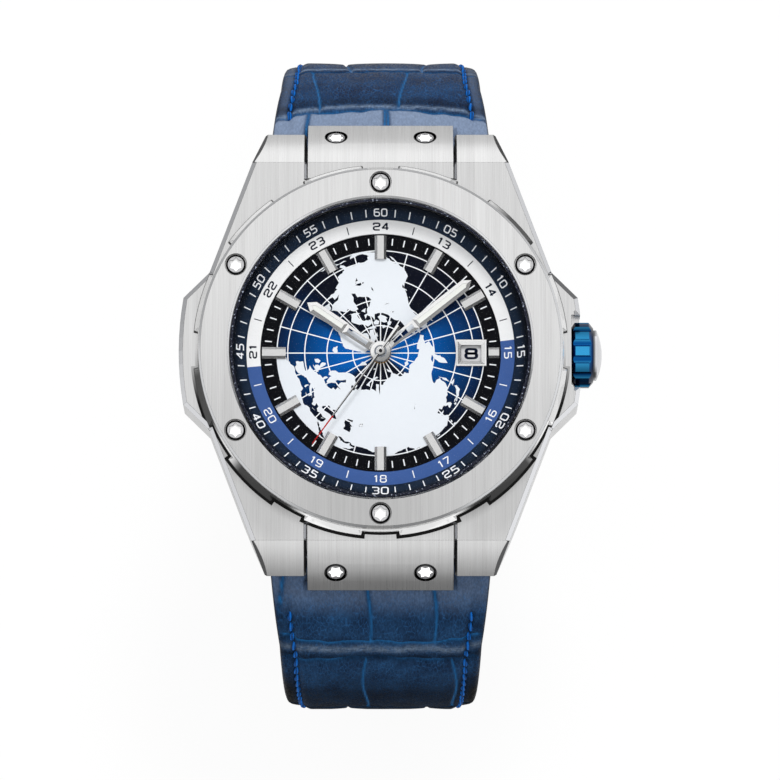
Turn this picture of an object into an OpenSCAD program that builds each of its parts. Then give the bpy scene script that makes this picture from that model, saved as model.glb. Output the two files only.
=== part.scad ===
// Wristwatch with a 24-hour ring, standing dial up on the closed clasp of its strap.
// +Z leaves the dial, +X points at 3 o'clock and +Y at 12 o'clock. The origin is the middle of the
// flat clasp foot, under the axis of the hands. Drops are measured down from the top of the bezel.

/* [Loop] */
// Outer radius of the strap from the lugs to its widest place
strap_upper_r = 28.4; // [27.8:0.1:29]
// Outer radius of the strap from its widest place to the clasp
strap_lower_r = 23.7; // [23.4:0.1:24]
// Widest place of the loop, from the axis of the hands to the outside of the strap
loop_reach = 36.5; // [36.2:0.1:36.8]
// Drop of the widest place below the bezel top
loop_mid_drop = 30.5; // [30:0.1:31]
// Gap between the strap and the plane of the clasp foot
foot_gap = 0.9; // [0.6:0.1:1.2]
// Strap thickness below its widest place
strap_t = 3; // [2.6:0.1:3.4]
// Extra strap thickness at the lugs
strap_swell = 2.4; // [2:0.1:2.8]
// Thickness of the strap lining
lining_t = 0.8; // [0.5:0.1:1.2]
// Strap width at the horns
strap_w = 24.4; // [23:0.1:25]
// Strap width a third of the way down to its widest place
strap_neck_w = 22.4; // [21.8:0.1:23]
// Strap width at its widest place in the loop
strap_mid_w = 21.3; // [20:0.1:21.6]
// Clearance between the strap and each side wall of the clasp
strap_side_gap = 0.7; // [0.5:0.1:1.5]

/* [Bezel] */
// Outer radius of the bezel ring
bezel_r = 19.9; // [19.5:0.05:20]
// Radius of the bezel opening
bezel_hole_r = 16.55; // [16.3:0.05:16.7]
// Height of the bezel ring
bezel_h = 1.3; // [1:0.05:1.6]
// Radius of the lobes of the skirt
lobe_r = 20.55; // [20.2:0.05:20.6]
// Radius of the skirt between its lobes
valley_r = 20.05; // [20:0.05:20.15]
// Number of lobes
lobes = 12; // [6:6:18]
// Angle that one lobe takes at its foot
lobe_angle = 19; // [14:0.5:21]
// Angle that one lobe takes at its top
lobe_top_angle = 16; // [10:0.5:18]
// Number of bezel screws
bezel_screws_n = 6; // [3:3:6]
// Radius of the circle of bezel screws
bezel_screw_r = 18.25; // [18:0.05:18.4]
// Diameter of a bezel screw head
bezel_head_d = 2.18; // [1.8:0.02:2.3]

/* [Case] */
// Drop of the case top below the bezel top
case_drop = 2.7; // [2.4:0.1:3]
// Drop of the case bottom
case_floor = 10.6; // [10.4:0.1:11]
// Half width of the case at its straight flanks
flank_x = 18.75; // [18.3:0.05:19.2]
// Half length of the flank between the tapered sides
flank_y = 8.7; // [8:0.1:9.4]
// Half width at the fold of the horns
fold_x = 14.1; // [13.5:0.1:15]
// Distance from the middle to the fold of the horns
fold_y = 20.9; // [20.7:0.1:21.4]
// Half width of the horn ends
horn_x = 12.2; // [11.6:0.1:13]
// Half width over the flat of the side guards
guard_x = 21.6; // [21:0.1:22]
// Half length of the outer face of a side guard
guard_y = 5.9; // [5:0.1:6.4]
// Bulge of the guard beyond its corners
guard_bulge = 0.5; // [0:0.05:0.8]
// Radius of the bore that holds the movement
bore_r = 15.2; // [15.1:0.05:15.5]
// Width of the polished edge round the case top
edge_w = 0.45; // [0.2:0.05:0.7]

/* [Lugs] */
// Radius of the curved fall of the lugs
lug_r = 13.5; // [13:0.1:14]
// Angle from level at which the curved fall starts
lug_start = 30; // [26:1:32]
// Angle at which a horn ends
horn_angle = 50; // [46:1:52]
// Angle at which a lug plate ends
plate_angle = 60; // [56:1:61]
// Width of a lug plate
plate_w = 16; // [15:0.1:16.4]
// Gap between a lug plate and each horn
plate_gap = 0.12; // [0.1:0.01:0.3]
// Width of the polished inner edge of each horn
inner_edge_w = 0.26; // [0.1:0.02:0.4]
// Depth of the bevel along the outer edge of each horn slope
slope_bevel = 0.25; // [0.1:0.01:0.35]
// Thickness of a lug plate
plate_t = 1.4; // [1.2:0.05:1.6]
// Thickness of the strap tongue clamped under the plate
tongue_t = 1.8; // [1.5:0.05:2]
// Sideways place of the lug screws
lug_screw_x = 4.9; // [4:0.1:6]
// Angle of the lug screws on the curved fall
lug_screw_angle = 48; // [45:1:51]
// Diameter of a lug screw head
lug_head_d = 2.3; // [1.8:0.02:2.5]

/* [Crown] */
// Drop of the crown axis below the bezel top
crown_drop = 6.5; // [6.4:0.05:6.6]
// Diameter of the crown
crown_d = 7.2; // [6.6:0.1:7.4]
// Length of the fluted crown
crown_l = 2.4; // [2.2:0.05:2.8]
// Number of flutes
flutes = 12; // [8:1:18]
// Face of the case that the crown closes on
crown_seat_x = 20.9; // [20.6:0.05:21]
// Half width of the gap between the crown guards
crown_gap_y = 3.95; // [3.85:0.05:4.2]
// Diameter of the steel cap
cap_d = 5.55; // [5:0.05:6]
// Height of the domed cap
cap_h = 0.95; // [0.6:0.05:1.2]
// Diameter of the winding stem
stem_d = 0.9; // [0.7:0.05:1]

/* [Dial] */
// Drop of the dial face
dial_drop = 4.6; // [4.5:0.05:4.7]
// Thickness of the dial
dial_t = 0.4; // [0.3:0.05:0.5]
// Outer radius of the 24-hour ring
ring24_r = 14.7; // [14.4:0.05:14.85]
// Inner radius of the 24-hour ring
ring24_hole_r = 13.2; // [13:0.05:13.4]
// Inner radius of the minute track and edge of the map disc
map_r = 11.45; // [11.2:0.05:11.6]
// Length of a baton marker
baton_l = 2.6; // [2.2:0.05:2.8]
// Width of a baton marker
baton_w = 1.28; // [1:0.02:1.5]
// Length of the short marker beside the date window
short_l = 1.15; // [0.8:0.05:1.2]
// Height of a baton marker
baton_h = 0.4; // [0.2:0.02:0.5]
// Place of the date window
date_x = 9.95; // [9.7:0.05:10]
// Length of the date window
date_l = 2.2; // [2:0.05:2.4]
// Width of the date window
date_w = 1.78; // [1.5:0.02:2]
// Width of the frame round the date window
date_rim = 0.58; // [0.3:0.02:0.7]
// Thickness of the crystal
crystal_t = 1.9; // [1.5:0.05:2]

/* [Hands] */
// Length of the hour hand
hour_l = 9.75; // [8:0.05:10.5]
// Length of the minute hand
minute_l = 12.7; // [11:0.05:13]
// Length of the seconds hand
seconds_l = 12.7; // [11:0.05:13.2]
// Tail of the seconds hand
seconds_tail = 3.4; // [2.5:0.05:4]
// Width of the hour hand
hour_w = 1.3; // [1:0.05:1.6]
// Width of the minute hand
minute_w = 1.3; // [0.9:0.05:1.4]
// Distance from the axis to the wide outer part of the hour hand
hour_step = 4.7; // [4:0.1:5.5]
// Distance from the axis to the wide outer part of the minute hand
minute_step = 4.9; // [4:0.1:6]
// Thickness of the hour and minute hands
hand_t = 0.2; // [0.15:0.01:0.25]
// Direction of the hour hand from 3 o'clock, against the clock
hour_angle = 145.7; // [0:0.1:360]
// Direction of the minute hand
minute_angle = 38.4; // [0:0.1:360]
// Direction of the seconds hand
seconds_angle = 234; // [0:1:360]

/* [Back] */
// Drop of the lowest face of the case back
back_drop = 12.5; // [12.3:0.1:12.8]
// Outer radius of the case back
back_r = 17.6; // [17.5:0.1:17.8]
// Radius of the glass in the case back
back_glass_r = 13.1; // [12.8:0.05:13.3]
// Number of case back screws
back_screws_n = 6; // [4:1:8]
// Radius of the circle of case back screws
back_screw_r = 16.6; // [16.55:0.05:16.65]

/* [Movement] */
// Radius of the movement
movement_r = 12.9; // [12.8:0.05:13]
// Module of the barrel teeth
barrel_m = 0.12; // [0.11:0.005:0.12]
// Module of the centre wheel teeth
centre_m = 0.078; // [0.077:0.0005:0.079]
// Module of the fourth wheel teeth
fourth_m = 0.076; // [0.075:0.0005:0.076]
// Module of the cannon pinion teeth
cannon_m = 0.1; // [0.09:0.005:0.1]
// Radius of the balance wheel
balance_r = 3; // [2.8:0.05:3.05]
// Distance of the balance from the centre
balance_at = 9.2; // [9.15:0.05:9.3]
// Distance of the pallet fork from the centre
fork_at = 5.9; // [5.85:0.05:5.95]
// Radius of the rotor
rotor_r = 12.3; // [11.5:0.1:12.4]
// Turns of the hairspring
hair_turns = 3.5; // [2.5:0.5:3.5]
// Turns of the mainspring
main_turns = 5.5; // [3.5:0.5:5.5]

/* [Clasp] */
// Width of the clasp cover
cover_w = 22; // [21.6:0.1:24]
// Thickness of the clasp cover floor
cover_t = 1; // [0.8:0.05:1.1]
// Height of the cover's side walls
cover_h = 3.8; // [3.6:0.05:3.9]
// Distance of each clasp hinge from the middle
hinge_y = 15; // [14.8:0.1:15.1]
// Diameter of the hinge pins
pin_d = 1; // [0.8:0.05:1.1]
// Distance of the strap bars from the middle
bar_y = 18; // [17.9:0.1:18.2]
// Diameter of the strap bars
bar_d = 1.5; // [1.2:0.05:1.6]
// Width of the folding blades
blade_w = 16; // [14:0.1:16.4]
// Thickness of the folding blades
blade_t = 0.7; // [0.6:0.05:0.75]
// Length of a push button
button_l = 5.6; // [4:0.1:8]
// Height of a push button
button_h = 2.2; // [1.6:0.1:2.4]
// Travel of a push button
button_travel = 0.8; // [0.5:0.05:0.9]

/* [Hidden] */
$fn = 96;
eps = 0.01;      // cuts run past faces by this
fit = 0.05;      // clearance of running and sliding fits
seat_gap = 0.15; // clearance of soft parts beside metal
wall_t = 1.3;    // side walls of the clasp cover
strap_end_w = cover_w - 2 * (wall_t + strap_side_gap);

head_z = foot_gap + strap_lower_r + loop_mid_drop; // height of the bezel top above the foot
upper_y = loop_reach - strap_upper_r;
lower_y = loop_reach - strap_lower_r;
inner_y = upper_y + strap_swell;
inner_r = loop_reach - strap_t - inner_y;

plate_slot = plate_w / 2 + plate_gap;
lug_y = fold_y - lug_r * sin(lug_start);
lug_drop = case_drop + lug_r * cos(lug_start);
plate_r = lug_r - plate_t;
tongue_r = plate_r - fit;
seat_r = tongue_r - tongue_t;
plate_y = bezel_screw_r + 0.85;
tongue_w = 2 * (plate_slot - seat_gap);
horn_y = lug_y + lug_r * sin(horn_angle) + 1; // beyond the horn ends
slope_mid = (lug_start + horn_angle) / 2;
screw_d = 1;          // shanks of the case screws
screw_hole_d = 1.2;   // holes that the shanks pass through
bezel_screw_l = 5.2;
bezel_screw_sink = 0.12;
lug_screw_l = 5.6;
lug_screw_sink = 0.1;
back_screw_l = 3.8;
back_head_d = 1.7;
tube_r = 1.2;         // crown tube
tube_hole_r = 0.8;
groove_r = 17.1;      // groove of the bezel gasket
groove_w = 0.4;
groove_h = 0.3;
back_groove_r = 15.45; // groove of the back gasket
back_groove_w = 0.5;
back_groove_h = 0.5;

dial_floor = dial_drop + dial_t;
crystal_drop = 0.1;
crystal_r = bezel_hole_r - 0.1;
gasket_w = 0.45;
flange_r = crystal_r + 0.4;
flange_seat_drop = 3.85;   // lower than the flange's slope at the bore
dial_r = bore_r - 0.1;

flange_base = 2.3;    // drop of the face between crystal gasket and flange
flange_edge = 3.95;   // drop of the flange's inner edge
lip_r = 16.2;         // inner radius of the flange's upper edge
map_t = 0.1;
disc_gap = 0.1;       // between the dial and the date disc
disc_t = 0.2;
disc_r = 11.9;
disc_hole_r = 7.9;

ring_base = 10.1;     // drop of the lower face of the movement ring
glass_seat = 11.5;    // drop of the seat of the back glass
seat_t = 0.35;
seat_r_in = 12.5;
back_rim_r = 14.2;

plate_top = 5.5;
plate_base = 7.1;
bridge_top = 9.3;
bridge_base = 9.9;
rotor_top = 10.3;

centre_n = 80;
third_pinion_n = 10;
third_n = 75;
fourth_pinion_n = 10;
fourth_n = 84;
escape_pinion_n = 7;
barrel_n = 84;
centre_pinion_n = 12;
cannon_n = 12;
minute_wheel_n = 36;
minute_pinion_n = 12;
hour_n = 48;
escape_n = 15;
escape_r = 1.9;

third_at = centre_m * (centre_n + third_pinion_n) / 2;
third_m = 2 * third_at / (third_n + fourth_pinion_n);
escape_at = fourth_m * (fourth_n + escape_pinion_n) / 2;
barrel_at = barrel_m * (barrel_n + centre_pinion_n) / 2;
motion_at = cannon_m * (cannon_n + minute_wheel_n) / 2;
hour_m = 2 * motion_at / (minute_pinion_n + hour_n);
third_angle = 330;
escape_angle = 250;
barrel_angle = 130;
motion_angle = 200;
pivot_r = 0.12;
jewel_r = 0.45;
axes = [[third_at, third_angle], [escape_at, escape_angle], [barrel_at, barrel_angle],
        [fork_at, escape_angle], [balance_at, escape_angle]];

// Drops of the upper faces of the wheels
wheel_t = 0.2;
hour_level = 5.55;
motion_level = 5.85;
centre_level = 7.3;
barrel_level = 7.65;
escape_level = 7.9;
third_level = 8.3;
balance_level = 8.3;
fourth_level = 8.9;
hair_level = 8.95;
drum_r = 4.75;        // barrel drum
drum_h = 1.05;
drum_t = 0.3;

shaft_r = 0.18;       // seconds arbor
centre_tube_r = 0.38; // hollow centre arbor
cannon_tube_r = 0.65; // cannon pinion
hour_tube_r = 0.95;   // hour wheel tube
tube_gap = 0.06;

hand_hub_r = hour_tube_r + 0.2;
hour_hand_drop = 3.95;
minute_hand_drop = 3.35;
seconds_hand_drop = 2.85;

pin_z = 2.2;
fold_z = 3.1;
bar_z = 3.1;
inner_blade_z = 3.5;
strap_cut_y = 16.9;
shoulder_drop = 6.7;    // the strap narrows from here
neck_drop = 15.5;
knuckle_r = 1;
fold_knuckle_r = 1.2;
knuckle_l = 3;        // length of each outer knuckle of the fold
knuckle_gap = 0.2;    // clearance between knuckles
wall_end_r = 1.2;     // rounded ends of the cover walls
wall_slope = 4;       // length of their sloping ends
button_z = 2.2;
hook_r = 1.4;         // hooks of the inner blade round the strap bar
hook_w = 1.2;
hook_x = 9.95;
hook_gap = 0.15;      // clearance between the hooks and the bar

steel = [0.78, 0.79, 0.8];
polished = [0.85, 0.86, 0.88];
navy = [0.07, 0.11, 0.18];
blue = [0.24, 0.36, 0.59];
leather = [0.1, 0.24, 0.42];
brass = [0.85, 0.7, 0.4];

function polar(r, a) = [r * cos(a), r * sin(a)];

// Place of a movement axis at a distance and an angle from the centre
module at_axis(d, a) translate([d * cos(a), d * sin(a), 0]) children();

// Children drawn with z = 0 at the bezel top
module head() translate([0, 0, head_z]) children();

// Solid between two drops below the bezel top
module between(top, base) translate([0, 0, -base]) linear_extrude(base - top) children();

// Flat ring between two drops
module ring(inner, outer, top, base) between(top, base) difference() {
    circle(r = outer);
    circle(r = inner);
}

// Sector from angle a0 to a1 that covers radius r
module sector(r, a0, a1) polygon(concat([[0, 0]], [for (i = [0:6]) polar(r * 1.2, a0 + (a1 - a0) * i / 6)]));

// Shape drawn in the side view, y across and z up, made w wide along x
module side_extrude(w) rotate([90, 0, 90]) linear_extrude(w, center = true) children();

// Shape drawn in the front view, x across and z up, made l long along y
module front_extrude(l) rotate([90, 0, 0]) linear_extrude(l, center = true) children();

// Children at the 12 o'clock side and mirrored at the 6 o'clock side
module both_ends() {
    children();
    mirror([0, 1, 0]) children();
}

// Rod along x
module rod(x0, x1, r) translate([x0, 0, 0]) rotate([0, 90, 0]) cylinder(h = x1 - x0, r = r);

// Outline of a gear with n straight-sided teeth, the first one at angle 0
module gear_outline(n, m) {
    pitch = 360 / n;
    root_r = m * (n / 2 - 1.1);
    tip_r = m * (n / 2 + 0.8);
    polygon([for (i = [0:n - 1]) for (p = [[root_r, -0.22], [tip_r, -0.1], [tip_r, 0.1], [root_r, 0.22]])
        polar(p[0], pitch * (i + p[1]))]);
}

// Wheel with a rim, four spokes and a hub
module wheel(n, m, hub_r, hole_r) {
    rim_r = m * n / 2 - 3 * m;
    difference() {
        union() {
            difference() {
                gear_outline(n, m);
                circle(r = rim_r - 0.25);
            }
            circle(r = hub_r);
            for (a = [0, 90]) rotate(a) square([2 * rim_r, 0.3], center = true);
        }
        if (hole_r > 0) circle(r = hole_r);
    }
}

// Flat spiral strip as one outline
module spiral(r0, pitch, turns, t) {
    steps = ceil(turns * 24);
    inner = [for (i = [0:steps]) polar(r0 + pitch * turns * i / steps, 360 * turns * i / steps)];
    outer = [for (i = [steps:-1:0]) polar(r0 + t + pitch * turns * i / steps, 360 * turns * i / steps)];
    polygon(concat(inner, outer));
}

// Six-pointed recess of a screw head
module star(d) polygon([for (i = [0:11]) polar(i % 2 == 0 ? d / 2 : d * 0.34, 30 * i)]);

// Children turned so that their z axis points along n
module facing(n) rotate([0, acos(n[2] / norm(n)), atan2(n[1], n[0])]) children();

// Screw with a domed edge, star recess and shank; its head top is at z = 0
module star_screw(head_d, head_h, shank_d, length) {
    difference() {
        rotate_extrude() polygon([[0, 0], [head_d / 2 - 0.2, 0], [head_d / 2, -0.2],
            [head_d / 2, -head_h], [0, -head_h]]);
        translate([0, 0, -0.45]) linear_extrude(1) star(head_d * 0.75);
    }
    translate([0, 0, -length]) cylinder(h = length - head_h + eps, d = shank_d, $fn = 48);
}

// Outer face of the side guard on the +x side, as points from -y to +y
guard_turn = 2 * atan(guard_bulge / guard_y);
guard_r = guard_y / sin(guard_turn);
guard_points = [for (i = [-4:4]) [guard_x + guard_r * (cos(guard_turn * i / 4) - cos(guard_turn)),
    guard_r * sin(guard_turn * i / 4)]];

// Plan outline of the case without its crown gap, one half and its turned copy
case_half = concat([[horn_x, -horn_y], [fold_x, -fold_y], [flank_x, -flank_y]], guard_points,
    [[flank_x, flank_y], [fold_x, fold_y], [horn_x, horn_y]]);
module case_outline() polygon(concat(case_half, [for (p = case_half) -p]));

// Sector of the lug fall in the side view, from angle a0 to a1 and radius r0 to r1
module lug_sector(r0, r1, a0, a1) translate([lug_y, -lug_drop]) intersection() {
    difference() {
        circle(r = r1);
        if (r0 > 0) circle(r = r0);
    }
    sector(r1, 90 - a1, 90 - a0);
}

// Half-plane beyond an angle of the lug fall
module beyond_lug(a) translate([lug_y, -lug_drop]) rotate(90 - a) translate([-20, -60]) square([60, 60]);

// Side view of the horns at the 12 o'clock end
module horn_side() difference() {
    union() {
        translate([0, -case_floor]) square([fold_y, case_floor - case_drop]);
        intersection() {
            translate([lug_y, -lug_drop]) circle(r = lug_r);
            translate([fold_y - eps, -case_floor]) square([9, case_floor - case_drop]);
        }
    }
    beyond_lug(horn_angle);
}

// Screw holes of the lugs, in the side view frame of the 12 o'clock end
module at_lug_screws(r) for (x = [-lug_screw_x, lug_screw_x])
    translate([x, lug_y, -lug_drop]) rotate([-lug_screw_angle, 0, 0]) translate([0, 0, r]) children();

// Bezel screws around the dial, the first at 30 degrees
module at_bezel_screws() for (i = [0:bezel_screws_n - 1])
    rotate(30 + i * 360 / bezel_screws_n) translate([bezel_screw_r, 0, 0]) children();

module at_back_screws() for (i = [0:back_screws_n - 1])
    rotate(i * 360 / back_screws_n) translate([back_screw_r, 0, 0]) children();

// Polished edge of width w cut along one straight side of the case top, from point p to point q
module edge_cut(p, q, w) {
    d = q - p;
    translate([p[0], p[1], -case_drop]) rotate([0, 0, atan2(d[1], d[0])]) rotate([45, 0, 0])
        translate([-0.15, -w * 0.7071, -w * 0.7071]) cube([norm(d) + 0.3, w * 1.4142, w * 1.4142]);
}

// Bevel along the outer edge of one horn slope
module slope_cut() {
    side = [horn_y - fold_y, fold_x - horn_x, 0];
    n = side / norm(side) + [0, sin(slope_mid), cos(slope_mid)];
    y = lug_y + lug_r * sin(slope_mid);
    x = fold_x - (y - fold_y) * (fold_x - horn_x) / (horn_y - fold_y);
    translate([x, y, lug_r * cos(slope_mid) - lug_drop] - slope_bevel * n / norm(n))
        facing(n) translate([-4, -4, 0]) cube([8, 8, 3]);
}

// Polished inner edge of one horn, along its slope and its flat
module inner_cut() {
    translate([plate_slot, lug_y, -lug_drop]) rotate([0, 90, 0]) rotate_extrude()
        polygon([[lug_r - inner_edge_w - 0.1, -0.1], [lug_r + 1, inner_edge_w + 1], [lug_r + 1, -0.1]]);
    edge_cut([plate_slot, plate_y], [plate_slot, fold_y - 0.3], inner_edge_w);
}

module mid_case() color(steel) head() difference() {
    intersection() {
        between(case_drop, case_floor) case_outline();
        side_extrude(60) both_sides_2d() horn_side();
    }
    for (sx = [1, -1]) for (sy = [1, -1]) scale_side(sx, sy) {
        edge_cut([flank_x, flank_y], [fold_x, fold_y], edge_w);
        edge_cut([flank_x, flank_y], [guard_x, guard_y], edge_w);
        for (i = [4:7]) edge_cut(guard_points[i], guard_points[i + 1], edge_w);
        slope_cut();
        inner_cut();
    }
    ring(0, bore_r, 0, case_floor + 1);
    ring(0, flange_r, 0, flange_seat_drop);
    both_ends() {
        side_extrude(2 * plate_slot) difference() {
            translate([plate_y - 0.1, -30]) square([20, 30]);
            lug_sector(0, seat_r, -60, 62);
            translate([0, -case_floor]) square([lug_y + 1, case_floor - lug_drop + seat_r * cos(30)]);
        }
        at_lug_screws(lug_r - lug_screw_l - 0.4) cylinder(h = lug_screw_l + 0.4, d = screw_d, $fn = 48);
    }
    translate([crown_seat_x, -crown_gap_y, -case_floor - 1]) cube([9, 2 * crown_gap_y, case_floor]);
    for (s = [0, 1]) mirror([0, s, 0])
        edge_cut([crown_seat_x + edge_w, crown_gap_y], [guard_x + guard_bulge, crown_gap_y], edge_w);
    translate([0, 0, -crown_drop]) rod(bore_r - 1, crown_seat_x + 1, tube_r);
    at_bezel_screws() ring(0, screw_d / 2, 0, bezel_screw_l + 0.7);
    at_back_screws() ring(0, screw_d / 2, back_drop - back_screw_l - 0.4, back_drop);
    ring(back_groove_r, back_groove_r + back_groove_w, case_floor - back_groove_h, case_floor + 1);
}

// Side view shape and its mirror across y
module both_sides_2d() {
    children();
    mirror([1, 0]) children();
}

module scale_side(sx, sy) mirror([sx < 0 ? 1 : 0, 0, 0]) mirror([0, sy < 0 ? 1 : 0, 0]) children();

module bezel() color(steel) head() difference() {
    rotate_extrude() polygon([[bezel_hole_r, -bezel_h], [bezel_hole_r, -0.2], [bezel_hole_r + 0.2, 0],
        [bezel_r - 0.25, 0], [bezel_r, -0.25], [bezel_r, -bezel_h]]);
    at_bezel_screws() {
        ring(0, bezel_head_d / 2 + 0.12, -1, 0.95);
        ring(0, screw_hole_d / 2, 0, bezel_h + 1);
    }
}

// Block under one lobe, with slanting ends
module lobe_block() rotate([90, 0, 90]) linear_extrude(lobe_r + 1) polygon([
    [-lobe_r * sin(lobe_angle / 2), -case_drop], [lobe_r * sin(lobe_angle / 2), -case_drop],
    [bezel_r * sin(lobe_top_angle / 2), -bezel_h], [-bezel_r * sin(lobe_top_angle / 2), -bezel_h]]);

module bezel_skirt() color(polished) head() difference() {
    intersection() {
        rotate_extrude() polygon([[flange_r, -case_drop], [lobe_r, -case_drop], [lobe_r, -case_drop + 0.3],
            [bezel_r + 0.02, -bezel_h], [flange_r, -bezel_h]]);
        union() {
            ring(0, valley_r, bezel_h, case_drop);
            for (i = [0:lobes - 1]) rotate((i + 0.5) * 360 / lobes) lobe_block();
        }
    }
    at_bezel_screws() ring(0, screw_hole_d / 2, 0, case_drop + 1);
    ring(groove_r, groove_r + groove_w, case_drop - groove_h, case_drop + 1);
}

module bezel_screws() color(polished) head() at_bezel_screws()
    translate([0, 0, -bezel_screw_sink]) star_screw(bezel_head_d, 0.83, screw_d, bezel_screw_l);

module bezel_gasket() color("black") head()
    ring(groove_r, groove_r + groove_w, case_drop - groove_h, case_drop);

module crystal() color([0.85, 0.9, 0.95, 0.3]) head() rotate_extrude() polygon([[0, -crystal_drop],
    [crystal_r - 0.55, -crystal_drop], [crystal_r, -crystal_drop - 0.3],
    [crystal_r, -crystal_drop - crystal_t], [0, -crystal_drop - crystal_t]]);

module crystal_gasket() color("black") head() rotate_extrude() polygon([[crystal_r, -bezel_h],
    [flange_r, -bezel_h], [flange_r, -flange_base], [lip_r + 0.1, -flange_base],
    [lip_r + 0.1, -crystal_drop - crystal_t],
    [crystal_r, -crystal_drop - crystal_t]]);

module minute_flange() color(navy) head() rotate_extrude() polygon([[lip_r, -flange_base],
    [flange_r, -flange_base],
    [flange_r, -flange_seat_drop], [dial_r, -flange_seat_drop], [dial_r, -dial_drop],
    [ring24_r, -dial_drop], [ring24_r, -flange_edge]]);

module hour24_ring() color(blue) head() rotate_extrude() polygon([
    [ring24_r, -flange_edge - 0.03], [ring24_r, -dial_drop], [ring24_hole_r, -dial_drop],
    [ring24_hole_r, -dial_drop + 0.35]]);

module dial() color(navy) head() difference() {
    ring(hour_tube_r + 0.2, dial_r, dial_drop, dial_floor);
    ring(0, map_r + fit, 0, dial_drop + map_t);
    between(0, 9) translate([date_x, 0]) square([date_l, date_w], center = true);
}

module map_disc() color([0.2, 0.4, 0.65]) head() difference() {
    ring(hour_tube_r + 0.2, map_r, dial_drop, dial_drop + map_t);
    between(0, 9) translate([date_x, 0]) square([date_l, date_w], center = true);
}

// Bevelled bar standing on the dial along x
module baton(l, w, h) rotate([90, 0, 90]) linear_extrude(l) polygon([[-w / 2, 0], [w / 2, 0],
    [w / 2, h * 0.4], [w * 0.28, h], [-w * 0.28, h], [-w / 2, h * 0.4]]);

module hour_markers() color(polished) head() translate([0, 0, -dial_drop]) {
    for (i = [1:11]) rotate(30 * i) translate([ring24_hole_r - 0.2 - baton_l, 0, 0])
        baton(baton_l, baton_w, baton_h);
    translate([date_x + date_l / 2 + date_rim + 0.22, 0, 0]) baton(short_l, baton_w * 0.92, baton_h);
}

module date_frame() color(polished) head() between(dial_drop - 0.3, dial_drop)
    translate([date_x, 0]) difference() {
        square([date_l + 2 * date_rim, date_w + 2 * date_rim], center = true);
        square([date_l, date_w], center = true);
    }

module date_disc() color("white") head() translate([0, 0, -disc_gap]) between(dial_floor, dial_floor + disc_t)
    difference() {
        circle(r = disc_r);
        circle(r = disc_hole_r);
        for (i = [0:30]) rotate(360 * (i + 0.5) / 31) translate([disc_hole_r, 0]) circle(r = 0.5, $fn = 6);
    }

// Hand outline along +x: open inner part as far as the step, wider outer part, pointed tip
module hand_outline(l, w, step) difference() {
    polygon([[0, -w * 0.38], [step - 0.3, -w * 0.43], [step, -w / 2], [l - 0.85, -w / 2], [l, 0],
        [l - 0.85, w / 2], [step, w / 2], [step - 0.3, w * 0.43], [0, w * 0.38]]);
    translate([hand_hub_r + 0.45, -w * 0.2]) square([step - hand_hub_r - 0.8, w * 0.4]);
}

module hand(l, w, step, drop, hole_r) head() between(drop - hand_t, drop) difference() {
    union() {
        hand_outline(l, w, step);
        circle(r = hand_hub_r);
    }
    circle(r = hole_r);
}

module hour_hand() color(polished) rotate(hour_angle)
    hand(hour_l, hour_w, hour_step, hour_hand_drop, hour_tube_r);

module minute_hand() color(polished) rotate(minute_angle)
    hand(minute_l, minute_w, minute_step, minute_hand_drop, cannon_tube_r);

module seconds_hand() color(polished) rotate(seconds_angle) head() {
    between(seconds_hand_drop - 0.14, seconds_hand_drop) difference() {
        union() {
            polygon([[-seconds_tail, -0.22], [0, -0.12], [seconds_l, -0.05], [seconds_l, 0.05],
                [0, 0.12], [-seconds_tail, 0.22]]);
            circle(r = 0.5);
        }
        circle(r = shaft_r);
    }
    ring(shaft_r, 0.32, seconds_hand_drop - 0.14, seconds_hand_drop + 0.2);
}

// Lug plate of the 12 o'clock end
module lug_plate() color(steel) head() difference() {
    side_extrude(plate_w) intersection() {
        lug_sector(plate_r, lug_r, 0, plate_angle);
        translate([plate_y, -30]) square([20, 30 - case_drop]);
    }
    at_lug_screws(lug_r - 0.9) cylinder(h = 2, d = lug_head_d + 0.2, $fn = 64);
    at_lug_screws(lug_r - 3) cylinder(h = 4, d = screw_hole_d, $fn = 48);
}

module lug_plate_12() lug_plate();
module lug_plate_6() mirror([0, 1, 0]) lug_plate();

module lug_screws() color(polished) head() both_ends() at_lug_screws(lug_r - lug_screw_sink)
    star_screw(lug_head_d, 0.8, screw_d, lug_screw_l);

// Band between the outer and inner curves of the strap in the side view; layer 0 is the whole
// thickness, 1 the padded leather and 2 the lining
module strap_side(layer) {
    outside = layer == 2 ? lining_t : 0;
    inside = layer == 1 ? lining_t : 0;
    intersection() {
        difference() {
            if (layer == 2) translate([inner_y, -loop_mid_drop]) circle(r = inner_r + lining_t);
            else translate([upper_y, -loop_mid_drop]) circle(r = strap_upper_r);
            translate([inner_y, -loop_mid_drop]) circle(r = inner_r + inside);
        }
        beyond_lug(horn_angle + 0.7);
        translate([lug_y, -loop_mid_drop]) square([40, 40]);
    }
    intersection() {
        translate([lower_y, -loop_mid_drop]) difference() {
            circle(r = strap_lower_r - (layer == 2 ? strap_t - lining_t : 0));
            circle(r = strap_lower_r - strap_t + inside);
        }
        translate([strap_cut_y, -loop_mid_drop - 40]) square([40, 40]);
    }
}

// Width of the strap in the front view
module strap_front() for (s = [1, -1]) scale([s, 1]) polygon([[0, -head_z], [strap_end_w / 2, -head_z],
    [strap_mid_w / 2, -loop_mid_drop], [strap_neck_w / 2, -neck_drop], [strap_w / 2, -shoulder_drop],
    [strap_w / 2, 0], [0, 0]]);

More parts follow.
